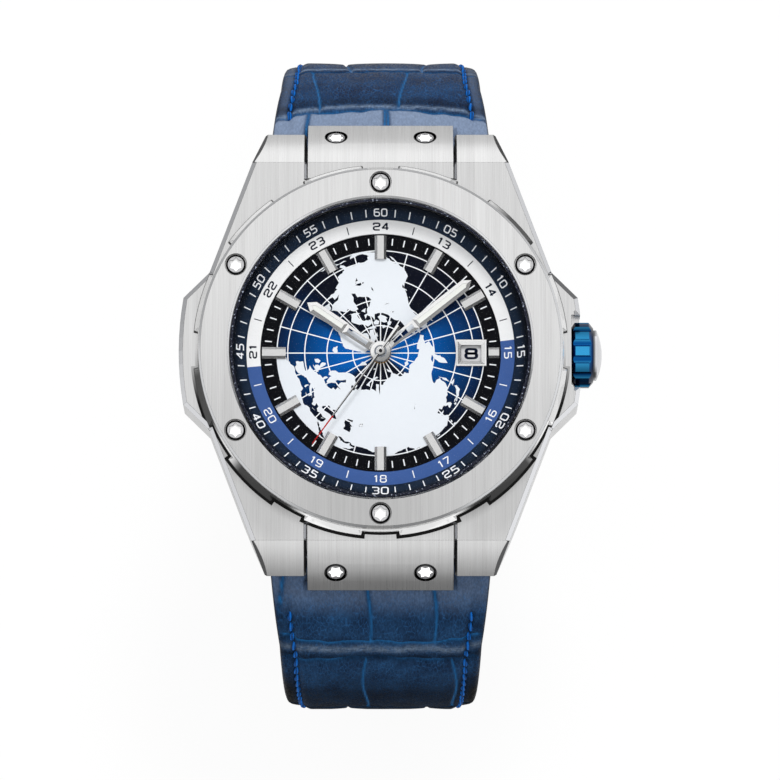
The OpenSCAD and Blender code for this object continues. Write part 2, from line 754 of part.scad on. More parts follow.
module strap_layer(layer) difference() {
    intersection() {
        side_extrude(40) strap_side(layer);
        translate([0, 20, 0]) front_extrude(60) strap_front();
    }
    side_extrude(2 * plate_slot + 0.2) {
        lug_sector(tongue_r, lug_r + 5, 0, plate_angle + 0.8);
        intersection() {
            lug_sector(0, seat_r + fit, -60, 62.8);
            translate([0, -case_floor - seat_gap]) square([40, 40]);
        }
    }
    translate([0, bar_y, bar_z - head_z]) rod(-20, 20, bar_d / 2 + fit);
}

// Leather strap of the 12 o'clock end with its tongue
module strap_leather() color(leather) head() difference() {
    union() {
        strap_layer(1);
        side_extrude(tongue_w) lug_sector(seat_r + fit, tongue_r, lug_start + 1, 64);
    }
    at_lug_screws(lug_r - 6) cylinder(h = 7, d = screw_hole_d + 0.1, $fn = 48);
}

module strap_12() strap_leather();
module strap_6() mirror([0, 1, 0]) strap_leather();
module strap_lining_12() color(leather * 0.8) head() strap_layer(2);
module strap_lining_6() mirror([0, 1, 0]) strap_lining_12();

module case_back() color(steel) head() difference() {
    rotate_extrude() polygon([[back_r, -case_floor], [back_r, -back_drop + 0.6], [back_r - 0.6, -back_drop],
        [back_glass_r + fit, -back_drop], [back_glass_r + fit, -glass_seat], [seat_r_in, -glass_seat],
        [seat_r_in, seat_t - glass_seat], [back_rim_r, seat_t - glass_seat], [back_rim_r, -ring_base],
        [bore_r - 0.1, -ring_base], [bore_r - 0.1, -case_floor]]);
    at_back_screws() {
        ring(0, back_head_d / 2 + 0.1, back_drop - 0.85, back_drop + 1);
        ring(0, screw_d / 2 + fit, case_floor - 1, back_drop + 1);
    }
}

module back_glass() color([0.85, 0.9, 0.95, 0.3]) head() ring(0, back_glass_r, glass_seat, back_drop - 0.1);

module back_gasket() color("black") head()
    ring(back_groove_r, back_groove_r + back_groove_w, case_floor - back_groove_h, case_floor);

module back_screws() color(polished) head() at_back_screws() translate([0, 0, -back_drop + 0.1])
    mirror([0, 0, 1]) star_screw(back_head_d, 0.75, screw_d, back_screw_l);

module crown() color([0.1, 0.35, 0.75]) head() translate([crown_seat_x + fit, 0, -crown_drop]) difference() {
    rotate([0, 90, 0]) rotate_extrude() polygon([[0, 0], [crown_d / 2 - 0.5, 0], [crown_d / 2, 0.4],
        [crown_d / 2, crown_l - 0.5], [crown_d / 2 - 0.6, crown_l], [0, crown_l]]);
    for (i = [0:flutes - 1]) rotate([360 * (i + 0.5) / flutes, 0, 0]) translate([0, crown_d / 2 + 0.2, 0])
        rod(-1, crown_l + 1, 0.5, $fn = 32);
    rod(-1, 1.75, 1.75);
    rod(-1, crown_l - 0.2, stem_d / 2);
}

module crown_cap() color(polished) head() translate([crown_seat_x + fit + crown_l, 0, -crown_drop]) {
    dome_r = (pow(cap_d / 2, 2) + pow(cap_h - 0.35, 2)) / (2 * (cap_h - 0.35));
    intersection() {
        rod(0, cap_h + 1, cap_d / 2);
        translate([cap_h - dome_r, 0, 0]) rotate([0, 90, 0]) sphere(r = dome_r);
    }
}

module crown_gasket() color("black") head() translate([crown_seat_x, 0, -crown_drop]) difference() {
    rod(0.6, 1.1, 1.7);
    rod(0, 2, 1.25);
}

module crown_tube() color(steel) head() translate([0, 0, -crown_drop]) difference() {
    rod(bore_r + 0.2, crown_seat_x + 1.4, tube_r);
    rod(bore_r - 1, crown_seat_x + 2, tube_hole_r);
}

module winding_stem() color(steel) head() translate([0, 0, -crown_drop])
    rod(7, crown_seat_x + fit + crown_l - 0.2, stem_d / 2);

module movement_ring() color([0.6, 0.61, 0.63]) head() difference() {
    ring(movement_r + 0.1, bore_r - 0.1, dial_floor, ring_base);
    translate([0, 0, -crown_drop]) rod(movement_r - 1, bore_r + 1, tube_hole_r);
}

module main_plate() color(steel) head() difference() {
    between(plate_top, plate_base) circle(r = movement_r);
    ring(0, 2.2, 0, motion_level + 0.3);
    at_axis(motion_at, motion_angle) ring(0, 2.05, 0, motion_level + 0.3);
    translate([0, 0, -crown_drop]) rod(6.5, 14, stem_d / 2 + fit);
    ring(0, 0.55, 0, 9);
    for (p = axes) at_axis(p[0], p[1]) ring(0, jewel_r, 0, 9);
}

// Ruby bearings in the main plate and the bridges
module jewels() color([0.75, 0.1, 0.3]) head() {
    for (p = axes) at_axis(p[0], p[1]) {
        ring(pivot_r + 0.03, jewel_r, plate_base - 0.35, plate_base);
        ring(pivot_r + 0.03, jewel_r, bridge_top, bridge_top + 0.35);
    }
    ring(shaft_r + 0.03, jewel_r, bridge_top, bridge_top + 0.35);
}

// Arbor between the two levels of jewels
module arbor(r) {
    ring(0, r, plate_base + fit, bridge_top - fit);
    ring(0, pivot_r, plate_base - 0.3, bridge_top + 0.3);
}

module barrel() color(brass) head() at_axis(barrel_at, barrel_angle) {
    difference() {
        union() {
            between(barrel_level, barrel_level + drum_t) rotate(barrel_angle + 180)
                gear_outline(barrel_n, barrel_m);
            ring(0, drum_r, barrel_level, barrel_level + drum_h);
        }
        ring(0.7, drum_r - drum_t, barrel_level + drum_t, barrel_level + drum_h + 1);
    }
    arbor(0.7);
}

module mainspring() color([0.7, 0.72, 0.75]) head() at_axis(barrel_at, barrel_angle)
    between(barrel_level + drum_t + fit, barrel_level + drum_h - fit) spiral(0.85, 0.6, main_turns, 0.15);

module centre_wheel() color(brass) head() {
    between(centre_level, centre_level + wheel_t) rotate(third_angle)
        wheel(centre_n, centre_m, 0.75, shaft_r + tube_gap);
    between(centre_level + wheel_t, centre_level + 0.8) difference() {
        rotate(barrel_angle + 180 / centre_pinion_n) gear_outline(centre_pinion_n, barrel_m);
        circle(r = shaft_r + tube_gap);
    }
    ring(shaft_r + tube_gap, centre_tube_r, 4.4, centre_level);
}

module third_wheel() color(brass) head() at_axis(third_at, third_angle) {
    between(third_level, third_level + wheel_t) rotate(third_angle + 180) wheel(third_n, third_m, 0.6, 0);
    between(centre_level - 0.1, third_level) rotate(third_angle + 180 + 180 / third_pinion_n)
        gear_outline(third_pinion_n, centre_m);
    arbor(0.18);
}

module fourth_wheel() color(brass) head() {
    between(fourth_level, fourth_level + wheel_t) rotate(escape_angle) wheel(fourth_n, fourth_m, 0.6, 0);
    between(third_level - 0.1, fourth_level) rotate(third_angle + 180 / fourth_pinion_n)
        gear_outline(fourth_pinion_n, third_m);
    ring(0, shaft_r, seconds_hand_drop - 0.14, bridge_top + 0.3);
}

module escape_wheel() color(brass) head() at_axis(escape_at, escape_angle) {
    between(escape_level, escape_level + wheel_t) difference() {
        polygon([for (i = [0:escape_n - 1]) for (p = [[1.45, 0], [escape_r, 8], [escape_r, 10], [1.45, 6]])
            polar(p[0], 360 * i / escape_n + p[1] * 1.2)]);
        difference() {
            circle(r = 1.2);
            circle(r = 0.5);
            for (a = [0, 90]) rotate(a) square([3, 0.2], center = true);
        }
    }
    between(fourth_level - 0.3, fourth_level + 0.3) rotate(escape_angle + 180 + 180 / escape_pinion_n)
        gear_outline(escape_pinion_n, fourth_m);
    arbor(0.16);
}

// Fork with two arms ending in pallet stones just outside the escape wheel
module pallet_fork() color(steel) head() {
    stone_r = escape_r + 0.2;
    reach = fork_at - escape_at;
    at_axis(escape_at, escape_angle) rotate(escape_angle) {
        between(escape_level, escape_level + wheel_t) {
            for (s = [-1, 1]) {
                rotate(s * 32) translate([stone_r, -0.12]) square([0.45, 0.24]);
                polygon([polar(stone_r + 0.25, s * 37), polar(stone_r + 0.5, s * 35),
                    [reach + 0.3, 0], [reach - 0.1, 0], polar(stone_r + 0.25, s * 27)]);
            }
            translate([reach, 0]) circle(r = 0.4);
            translate([reach, -0.15]) square([1.7, 0.3]);
            for (s = [-1, 1]) translate([reach + 1.6, s * 0.25 - 0.1]) square([0.35, 0.2]);
            translate([reach + 1.55, -0.35]) square([0.15, 0.7]);
        }
    }
    at_axis(fork_at, escape_angle) arbor(0.16);
}

module balance_wheel() color(brass) head() at_axis(balance_at, escape_angle) {
    between(balance_level, balance_level + 0.5) difference() {
        circle(r = balance_r);
        circle(r = balance_r - 0.45);
    }
    between(balance_level + 0.15, balance_level + 0.35) {
        for (a = [0:120:240]) rotate(a) translate([0, -0.2]) square([balance_r - 0.2, 0.4]);
        circle(r = 0.5);
    }
    ring(0, 0.8, balance_level - 0.1, balance_level);
    ring(0, 0.3, balance_level, balance_level + 0.15);
    arbor(0.16);
}

module hairspring() color([0.2, 0.3, 0.6]) head() at_axis(balance_at, escape_angle) {
    ring(0.16, 0.42, hair_level - 0.05, hair_level + 0.2);
    between(hair_level, hair_level + 0.15) spiral(0.38, 0.55, hair_turns, 0.08);
}

// Edge of a bridge foot that stands on the main plate
module bridge_foot(a0, a1) between(plate_base, bridge_base) intersection() {
    difference() {
        circle(r = movement_r);
        circle(r = 11.3);
    }
    sector(movement_r, a0, a1);
}

// Plan of the train bridge: a wedge joined to an island over the centre and the escapement
module train_plan() difference() {
    union() {
        intersection() {
            circle(r = movement_r);
            sector(movement_r, 285, 408);
        }
        train_island(0);
    }
    at_axis(balance_at, escape_angle) circle(r = balance_r + 0.5);
}

module train_island(extra) {
    circle(r = 2.3 + extra);
    rotate(escape_angle) translate([0, -1 - extra]) square([fork_at - 0.75, 2 + 2 * extra]);
}

module train_bridge() color(steel) head() difference() {
    union() {
        between(bridge_top, bridge_base) train_plan();
        bridge_foot(290, 408);
    }
    for (p = [axes[0], axes[1]]) at_axis(p[0], p[1]) ring(0, jewel_r, 0, 12);
    ring(0, jewel_r, 0, 12);
}

module barrel_bridge() color(steel) head() difference() {
    union() {
        between(bridge_top, bridge_base) difference() {
            intersection() {
                circle(r = movement_r);
                sector(movement_r, 50, 215);
            }
            train_island(0.15);
            at_axis(balance_at, escape_angle) circle(r = balance_r + 0.5);
        }
        bridge_foot(50, 212);
    }
    at_axis(barrel_at, barrel_angle) ring(0, jewel_r, 0, 12);
}

module balance_cock() color(steel) head() difference() {
    union() {
        between(bridge_top, bridge_base) {
            at_axis(balance_at, escape_angle) {
                circle(r = 1.2);
                rotate(escape_angle - 90) translate([0, -0.8]) square([balance_r + 1, 1.6]);
            }
            at_axis(fork_at, escape_angle) {
                circle(r = 0.7);
                rotate(escape_angle) translate([0, -0.45]) square([2.4, 0.9]);
            }
            intersection() {
                circle(r = movement_r);
                difference() {
                    sector(movement_r, 218, 238);
                    circle(r = 10.2);
                }
                rotate(escape_angle) translate([0, -12]) square([20, 9]);
            }
        }
        between(plate_base, bridge_base) intersection() {
            circle(r = movement_r);
            sector(movement_r, 219, 228);
            difference() {
                circle(r = movement_r);
                circle(r = 10.6);
            }
        }
    }
    for (p = [axes[3], axes[4]]) at_axis(p[0], p[1]) ring(0, jewel_r, 0, 12);
}

module rotor() color([0.75, 0.76, 0.78]) head() {
    between(rotor_top, rotor_top + 0.2) difference() {
        union() {
            intersection() {
                circle(r = rotor_r);
                rotate(20) translate([-20, -20]) square([40, 20]);
            }
            circle(r = 2.2);
        }
        circle(r = 1.2 + fit);
        rotate(20) for (a = [205:26:335]) rotate(a) translate([4, -1.1]) square([4.6, 2.2]);
    }
    between(rotor_top + 0.2, rotor_top + 0.65) intersection() {
        difference() {
            circle(r = rotor_r);
            circle(r = rotor_r - 2.5);
        }
        rotate(20) translate([-20, -20]) square([40, 20]);
    }
}

module rotor_bearing() color(polished) head() {
    ring(0, 1.2, bridge_base, rotor_top + 0.4);
    ring(0, 1.6, bridge_base, rotor_top - 0.15);
    ring(0, 1.6, rotor_top + 0.35, rotor_top + 0.5);
}

module cannon_pinion() color(steel) head() {
    ring(centre_tube_r + tube_gap, cannon_tube_r, minute_hand_drop - hand_t, motion_level);
    between(motion_level, motion_level + wheel_t) difference() {
        rotate(motion_angle) gear_outline(cannon_n, cannon_m);
        circle(r = centre_tube_r + tube_gap);
    }
}

module hour_wheel() color(brass) head() {
    ring(cannon_tube_r + tube_gap, hour_tube_r, hour_hand_drop - hand_t, hour_level + wheel_t);
    between(hour_level, hour_level + wheel_t) difference() {
        rotate(motion_angle + 180 / hour_n) gear_outline(hour_n, hour_m);
        circle(r = cannon_tube_r + tube_gap);
    }
}

module minute_wheel() color(brass) head() at_axis(motion_at, motion_angle) {
    between(motion_level, motion_level + wheel_t) rotate(motion_angle + 180 + 180 / minute_wheel_n)
        wheel(minute_wheel_n, cannon_m, 0.5, 0);
    between(hour_level, motion_level) rotate(motion_angle + 180) gear_outline(minute_pinion_n, hour_m);
}

// Side wall of the clasp cover with rounded ends
module cover_wall() hull() {
    translate([-hinge_y, pin_z]) circle(r = wall_end_r, $fn = 32);
    translate([-hinge_y + 1, 0]) square([hinge_y + bar_y - 1, 0.5]);
    translate([bar_y, bar_z - 0.3]) circle(r = wall_end_r + 0.1, $fn = 32);
    translate([-hinge_y + wall_slope, 1]) square([hinge_y + bar_y - 2 * wall_slope, cover_h - 1]);
}

module clasp_cover() color(steel) difference() {
    union() {
        translate([-cover_w / 2, -hinge_y + 1.6, 0]) cube([cover_w, hinge_y * 2 - 0.2, cover_t]);
        for (s = [-1, 1]) translate([s * (cover_w - wall_t) / 2, 0, 0]) side_extrude(wall_t) cover_wall();
    }
    translate([0, -hinge_y, pin_z]) rod(-20, 20, pin_d / 2);
    translate([0, bar_y, bar_z]) rod(-20, 20, bar_d / 2);
    for (s = [-1, 1]) translate([s * cover_w / 2, 0, button_z])
        cube([2 * wall_t + 1, button_l + 2 * fit, button_h + 2 * fit], center = true);
}

// Hinge pin of the cover and the two strap bars
module clasp_bars() color(polished) {
    translate([0, -hinge_y, pin_z]) rod(-cover_w / 2, cover_w / 2, pin_d / 2);
    translate([0, bar_y, bar_z]) rod(-cover_w / 2, cover_w / 2, bar_d / 2);
    translate([0, -bar_y, bar_z]) rod(-cover_w / 2 + 0.3, cover_w / 2 - 0.3, bar_d / 2);
}

module clasp_middle_blade() color(polished) difference() {
    union() {
        translate([-blade_w / 2, -hinge_y, 1.9]) cube([blade_w, 2 * hinge_y, blade_t]);
        translate([0, -hinge_y, pin_z]) rod(-blade_w / 2, blade_w / 2, knuckle_r);
        translate([0, hinge_y, fold_z]) rod(-blade_w / 2, blade_w / 2, fold_knuckle_r);
    }
    translate([0, -hinge_y, pin_z]) rod(-20, 20, pin_d / 2 + fit);
    translate([0, hinge_y, fold_z]) rod(-20, 20, pin_d / 2);
    translate([0, hinge_y, fold_z]) rod(knuckle_l - blade_w / 2, blade_w / 2 - knuckle_l, fold_knuckle_r + 0.1);
}

module clasp_fold_pin() color(polished) translate([0, hinge_y, fold_z])
    rod(-blade_w / 2, blade_w / 2, pin_d / 2);

module clasp_inner_blade() color(polished) difference() {
    tab = blade_w - 2 * (knuckle_l + knuckle_gap);
    union() {
        translate([-tab / 2, -hinge_y - 1, inner_blade_z]) cube([tab, 2 * hinge_y + 1, blade_t + 0.1]);
        translate([-blade_w / 2 + 0.4, -hinge_y - 1, inner_blade_z])
            cube([blade_w - 0.8, 2 * hinge_y - 1.5, blade_t + 0.1]);
        translate([0, hinge_y, fold_z]) rod(-tab / 2, tab / 2, fold_knuckle_r);
        translate([-hook_x - hook_w / 2, -hinge_y - 1.5, cover_h + 0.15])
            cube([2 * hook_x + hook_w, 1.6, blade_t - 0.05]);
        for (s = [-1, 1]) translate([s * hook_x, 0, 0]) side_extrude(hook_w) {
            translate([-bar_y - hook_r, bar_z]) square([2 * hook_r + 0.1, cover_h + 0.8 - bar_z]);
            translate([-bar_y, bar_z]) circle(r = hook_r);
        }
    }
    translate([0, hinge_y, fold_z]) rod(-20, 20, pin_d / 2 + fit);
    translate([0, -bar_y, bar_z]) rod(-20, 20, bar_d / 2 + hook_gap);
    translate([-20, -bar_y - bar_d / 2 - hook_gap, bar_z - 3]) cube([40, bar_d + 2 * hook_gap, 3]);
}

// Push button of the clasp on the +x side, with a flange behind the wall
module clasp_button() color(polished) translate([0, 0, button_z]) {
    translate([cover_w / 2 - wall_t - 0.1, 0, 0]) side_block(wall_t + 1.4, button_l, button_h);
    translate([cover_w / 2 - wall_t - fit - 0.5, 0, 0]) side_block(0.5, button_l + 1.4, button_h + 0.2);
}

// Block that starts at x = 0 and is centred in y and z
module side_block(x, y, z) translate([0, -y / 2, -z / 2]) cube([x, y, z]);

module clasp_button_right() clasp_button();
module clasp_button_left() mirror([1, 0, 0]) clasp_button();

mid_case();
bezel();
bezel_skirt();
bezel_screws();
bezel_gasket();
crystal();
crystal_gasket();
minute_flange();
hour24_ring();
dial();
map_disc();
hour_markers();
date_frame();
date_disc();
hour_hand();
minute_hand();
seconds_hand();
lug_plate_12();
lug_plate_6();
lug_screws();
strap_12();
strap_6();
strap_lining_12();
strap_lining_6();
case_back();
back_glass();
back_gasket();
back_screws();
crown();
crown_cap();
crown_gasket();
crown_tube();
winding_stem();
movement_ring();
main_plate();
barrel();
mainspring();
centre_wheel();
third_wheel();
fourth_wheel();
escape_wheel();
pallet_fork();
balance_wheel();
hairspring();
balance_cock();
train_bridge();
barrel_bridge();
rotor();
rotor_bearing();
cannon_pinion();
hour_wheel();
minute_wheel();
jewels();
clasp_cover();
clasp_middle_blade();
clasp_inner_blade();
clasp_button_left();
clasp_button_right();
clasp_bars();
clasp_fold_pin();
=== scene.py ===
import bpy
import math
import numpy as np
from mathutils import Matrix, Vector
from mathutils.geometry import delaunay_2d_cdt


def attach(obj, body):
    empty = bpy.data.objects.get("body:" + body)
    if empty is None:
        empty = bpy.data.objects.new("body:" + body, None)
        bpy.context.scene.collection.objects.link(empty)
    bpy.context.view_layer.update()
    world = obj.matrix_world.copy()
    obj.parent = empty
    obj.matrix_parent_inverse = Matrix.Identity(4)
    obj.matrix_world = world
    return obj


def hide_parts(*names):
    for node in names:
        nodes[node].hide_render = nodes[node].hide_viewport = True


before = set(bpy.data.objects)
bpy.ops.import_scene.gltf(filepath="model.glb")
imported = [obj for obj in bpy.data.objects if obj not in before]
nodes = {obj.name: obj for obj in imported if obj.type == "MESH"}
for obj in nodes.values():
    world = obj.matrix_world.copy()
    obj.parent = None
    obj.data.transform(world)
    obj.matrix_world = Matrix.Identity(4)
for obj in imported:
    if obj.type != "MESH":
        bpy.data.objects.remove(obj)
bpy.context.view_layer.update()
print("frame loaded with", len(nodes), "nodes")

headZ = 55.1          # bezel top above the foot, in mm like every length below
dialZ = headZ - 4.6   # dial face
lugY, lugZ = 14.15, headZ - 14.39   # axis that each lug plate and its screws lean round
rng = np.random.default_rng(24)
finishes = {}         # materials by name


def tone(r, g, b):  # linear colour of a screen colour from 0 to 255
    c = np.array([r, g, b]) / 255.0
    c = np.where(c <= 0.04045, c / 12.92, ((c + 0.055) / 1.055) ** 2.4)
    return (*c.tolist(), 1.0)


def grey(v):
    return (v, v, v, 1.0)


class Field:  # a shader socket; an expression on fields adds its Math nodes
    def __init__(self, finish, out):
        self.finish, self.out = finish, out

    def math(self, operation, *values):
        return self.finish.node("ShaderNodeMath", {"operation": operation}, values)

    def __add__(self, other): return self.math("ADD", self, other)
    def __sub__(self, other): return self.math("SUBTRACT", self, other)
    def __mul__(self, other): return self.math("MULTIPLY", self, other)
    def __truediv__(self, other): return self.math("DIVIDE", self, other)
    def __gt__(self, other): return self.math("GREATER_THAN", self, other)
    def __lt__(self, other): return self.math("LESS_THAN", self, other)
    def __radd__(self, other): return self.math("ADD", other, self)
    def __rsub__(self, other): return self.math("SUBTRACT", other, self)
    def __rmul__(self, other): return self.math("MULTIPLY", other, self)
    def __rtruediv__(self, other): return self.math("DIVIDE", other, self)
    def __abs__(self): return self.math("ABSOLUTE", self)
    def fract(self): return self.math("FRACT", self)
    def step(self, low, high):  # 0 below low, 1 above high, smooth between
        return self.finish.node("ShaderNodeMapRange", {"interpolation_type": "SMOOTHSTEP"}, [self, low, high, 0.0, 1.0])


class Finish:  # a material on one Principled shader, or the world
    def __init__(self, name, sockets=(), tree=None):
        if tree is None:
            self.material = finishes[name] = bpy.data.materials.new(name)
            self.material.use_nodes = True
            tree = self.material.node_tree
        self.tree = tree
        self.skin = tree.nodes.get("Principled BSDF")
        for key, value in dict(sockets).items():
            self.put(key, value)

    def feed(self, socket, value):
        if isinstance(value, Field):
            self.tree.links.new(value.out, socket)
        elif socket.type == "VECTOR" and len(value) == 4:
            socket.default_value = value[:3]
        else:
            socket.default_value = value

    def put(self, key, value):
        self.feed(self.skin.inputs[key], value)

    def look(self, colour, rough, height=None, distance=0.004, strength=0.3):  # height is a bump, distance in mm
        self.put("Base Color", colour)
        self.put("Roughness", rough)
        if height is not None:
            sockets = {"Strength": strength, "Distance": distance * 0.001, "Height": height}
            self.put("Normal", self.node("ShaderNodeBump", inputs=sockets))

    def node(self, kind, settings=None, inputs=(), output=0):
        made = self.tree.nodes.new(kind)
        for key, value in (settings or {}).items():
            if key == "stops":
                ramp = made.color_ramp
                while len(ramp.elements) < len(value):
                    ramp.elements.new(1.0)
                for element, (place, colour) in zip(ramp.elements, value):
                    element.position, element.color = place, colour
            else:
                setattr(made, key, value)
        for key, value in (inputs.items() if isinstance(inputs, dict) else enumerate(inputs)):
            self.feed(made.inputs[key], value)
        return Field(self, made.outputs[output])

    def coords(self, output="Object"):
        return self.node("ShaderNodeTexCoord", output=output)

    def spot(self, output="Object"):  # x, y, z in mm, or the parts of a direction
        parts = self.node("ShaderNodeSeparateXYZ", inputs=[self.coords(output)]).out.node.outputs
        scale = 1000.0 if output == "Object" else 1.0
        return [Field(self, parts[i]) * scale for i in range(3)]

    def noise(self, stretch, detail=2.0, rough=0.5):  # 0 to 1, cells of 1 mm over the stretch, one number or three
        scale = (1000.0 * np.broadcast_to(stretch, 3)).tolist()
        moved = self.node("ShaderNodeMapping", inputs={"Vector": self.coords(), "Scale": scale})
        sockets = {"Vector": moved, "Scale": 1.0, "Detail": detail, "Roughness": rough}
        return self.node("ShaderNodeTexNoise", inputs=sockets)

    def mix(self, factor, a, b):
        return self.node("ShaderNodeMix", {"data_type": "RGBA"}, {0: factor, 6: a, 7: b}, output=2)

    def blend(self, factor, a, b):  # value a where the factor is 0, b where it is 1
        return a * (1 - factor) + b * factor

    def scale(self, colour, factor):  # colour times a value
        return self.node("ShaderNodeVectorMath", {"operation": "SCALE"}, {0: colour, "Scale": factor})

    def edges(self, width):  # 1 on both sides of sharp edges, from how far a rounded normal leans off the true one
        rounded = self.node("ShaderNodeBevel", {"samples": 6}, {"Radius": width * 0.001})
        true = self.node("ShaderNodeNewGeometry", output=1)
        lean = 1 - self.node("ShaderNodeVectorMath", {"operation": "DOT_PRODUCT"}, [rounded, true], output=1)
        return lean.step(0.003, 0.03)

    def ramp(self, value, stops):
        return self.node("ShaderNodeValToRGB", {"stops": stops}, [value])

    def arctan(self, x, y):  # direction in plan, in radians from +x
        return self.node("ShaderNodeMath", {"operation": "ARCTAN2"}, [y, x])

    def turn(self, x, y):  # direction in plan, from 0 at -x through 0.25 at -y and 0.5 at +x
        return self.arctan(x, y) / (2 * math.pi) + 0.5

    def compass(self, x, y, tones):  # grey by direction in plan, from tones by degree
        return self.ramp(self.turn(x, y), [((a + 180) / 360, grey(v)) for a, v in tones.items()])

    def length(self, x, y):
        return self.node("ShaderNodeMath", {"operation": "SQRT"}, [x * x + y * y])

    def attribute(self, name):
        return self.node("ShaderNodeAttribute", {"attribute_name": name}, output=2)


metal = {"Metallic": 1.0}


def brushedSteel(name, base=(222, 222, 222), rough=0.3, edgeTone=(232, 233, 236), line=0.05):
    # fine lines along y on flats and slopes, along z on faces that look sideways; slanted edges are polished, and sharp
    # edges get a thin painted dark line as shade
    f = Finish(name, metal)
    nx, ny, nz = f.spot("Normal")
    lines = f.blend(abs(nx) > 0.75, f.noise((13.0, 0.12, 0.12), 3.0, 0.6), f.noise((0.12, 0.12, 11.0), 3.0, 0.6))
    bands = f.noise((1.7, 0.03, 0.03))
    f.edge = (abs(nx) > 0.05) * (nz > 0.12) * (nz < 0.97)
    flat = 1 - f.edge
    level = 1 + (lines - 0.5) * 0.42 + (bands - 0.5) * 0.2
    # painted shade: a thin dark line along sharp edges
    f.base = f.scale(f.mix(f.edge, f.scale(tone(*base), level), tone(*edgeTone)), 1 - f.edges(line) * 0.72)
    f.look(f.base, (rough + (lines - 0.5) * 0.2) * flat + 0.07 * f.edge, lines * flat, 0.004, 0.5)
    return f


# greys by degree, here and below, run from -180 at 9 o'clock through -90 at 6 o'clock and 0 at 3 o'clock
# painted shade on the bezel, by direction
bezelShadeTones = {-180: 0.915, -165: 0.85, -145: 0.765, -125: 0.74, -110: 0.69, -90: 0.665, -75: 0.72, -60: 0.785,
              -35: 0.83, -15: 0.9, -5: 0.955, 30: 1, 150: 0.985, 165: 0.95, 180: 0.915}


def bezelFinish(name):  # painted shade: darker towards 6 o'clock
    f = brushedSteel(name, (230, 230, 230), 0.3, (224, 225, 227))
    x, y, z = f.spot()
    f.put("Base Color", f.scale(f.base, f.compass(x, y, bezelShadeTones)))


caseLook = {
    # edge: painted reflection tones of the slanted edges, by the direction they face
    "edge": {-180: 0.78, -150: 0.82, -120: 0.8, -60: 0.95, 0: 0.92, 29: 0.92, 36: 0.3, 58: 0.3, 72: 0.85, 120: 0.8,
             155: 0.85, 180: 0.78},
    # near and wide: strength of the painted shade beside the skirt, by direction
    "near": {-180: 0, -160: 0.2, -130: 0.5, -110: 0.25, -90: 0.1, -70: 0.25, -50: 0.5, -20: 0.2, 0: 0},
    "wide": {-180: 0, -160: 0.3, -145: 1, -120: 1, -105: 0.2, -75: 0.2, -60: 1, -35: 1, -20: 0.3, 0: 0},
    # a painted shadow line runs out to the line radius, and horn-tip edges beyond the tip y get painted shade
    "deckZ": headZ - 3.4, "skirtR": 20.4, "shadowLineR": 20.32, "shadedTipY": 20.9,
    "lobe": 0.5, "lobeShare": 0.68,   # how far each of twelve lobes stands out, and its share of the way round
}


def caseFinish(name):
    # painted light: slanted edges get painted reflections of panels by direction, horn tips painted shade, slopes a
    # painted highlight, and a painted shadow line and two painted shades follow the skirt
    c = caseLook
    f = brushedSteel(name, line=0.07)
    x, y, z = f.spot()
    nx, ny, nz = f.spot("Normal")
    r = f.length(x, y)
    lobe = abs((f.turn(x, y) * 12).fract() - 0.5) < c["lobeShare"] / 2
    under = (nz > 0.9) * (z > c["deckZ"]) * y.step(1.0, -6.0)
    # painted shadow: a dark line at the skirt's foot that follows the lobes
    foot = (r < c["shadowLineR"] + lobe * c["lobe"]) * under
    near = ((c["skirtR"] - r) / 1.1 + 1.0).step(0.0, 1.0) * under * f.compass(x, y, c["near"])
    wide = ((c["skirtR"] - r) / 6.0 + 1.0).step(0.0, 0.6) * under * f.compass(x, y, c["wide"])
    slope = abs(ny).step(0.2, 0.4) * (nz > 0.3) * (1 - f.edge)
    # painted highlight on slopes, painted shade over the wider band beside the skirt
    lifted = f.scale(f.base, 1 + slope * 0.13 - wide * 0.17)
    body = f.mix(f.edge, lifted, f.scale(f.base, f.compass(nx, ny, c["edge"])))
    body = f.scale(body, 1 - f.edge * (abs(y) > c["shadedTipY"]) * 0.86)
    f.put("Base Color", f.mix(foot, f.scale(body, 1 - near * 0.55), grey(0.012)))


skirtLook = {
    # painted reflections of the lobes by direction; then the height below which the foot is painted dark as shadow, and
    # the y below which the lobes glow
    "tones": {-180: 0.7, -172: 0.05, -156: 0.05, -150: 0.7, -144: 0.7, -140: 0.03, -120: 0.03, -114: 0.98, -66: 0.98,
              -60: 0.03, -38: 0.03, -30: 0.8, 24: 0.75, 30: 0.06, 46: 0.06, 54: 0.8, 126: 0.9, 150: 0.8, 180: 0.75},
    "shadowFootZ": headZ - 2.3, "litY": -8.0,
}


def skirtFinish(name):  # painted reflections of panels and flags by direction on the lobes, a painted glow on the lower ones, a painted shadow line at their foot and painted dark edge lines
    f = Finish(name, {"Metallic": 0.55, "Emission Strength": 0.3})
    x, y, z = f.spot()
    panel = f.scale(f.compass(x, y, skirtLook["tones"]), 1 - f.edges(0.07) * 0.6)
    haze = f.noise(0.7, 3.0)
    # painted shadow line at the lobes' foot
    foot = z < skirtLook["shadowFootZ"]
    f.look(f.mix(foot, f.scale(panel, 0.96 + haze * 0.08), grey(0.03)), 0.12 + (haze - 0.5) * 0.06)
    # painted light: the lower lobes glow with their painted reflection
    f.put("Emission Color", f.scale(panel, (1 - foot) * (y < skirtLook["litY"])))


def polishedSteel(name):
    f = Finish(name, metal)
    haze = f.noise(0.7, 3.0)
    hair = f.noise((9.0, 2.0, 9.0))
    rough = 0.07 + (haze - 0.5) * 0.05 + (hair - 0.5) * 0.03
    f.look(f.scale(tone(222, 223, 226), 0.97 + haze * 0.06), rough, haze, 0.003)


def grained(name, base, rough, cells=(6.0, 3.0, 0.6), spread=0.12, roughSpread=0.14, relief=(0.004, 0.3),
            sockets=metal):
    # an even material whose colour, roughness and relief vary with one fine noise
    f = Finish(name, sockets)
    grains = f.noise(*cells)
    colour = f.scale(tone(*base), 1 + (grains - 0.5) * spread)
    f.look(colour, rough + (grains - 0.5) * roughSpread, grains if relief else None, *relief)


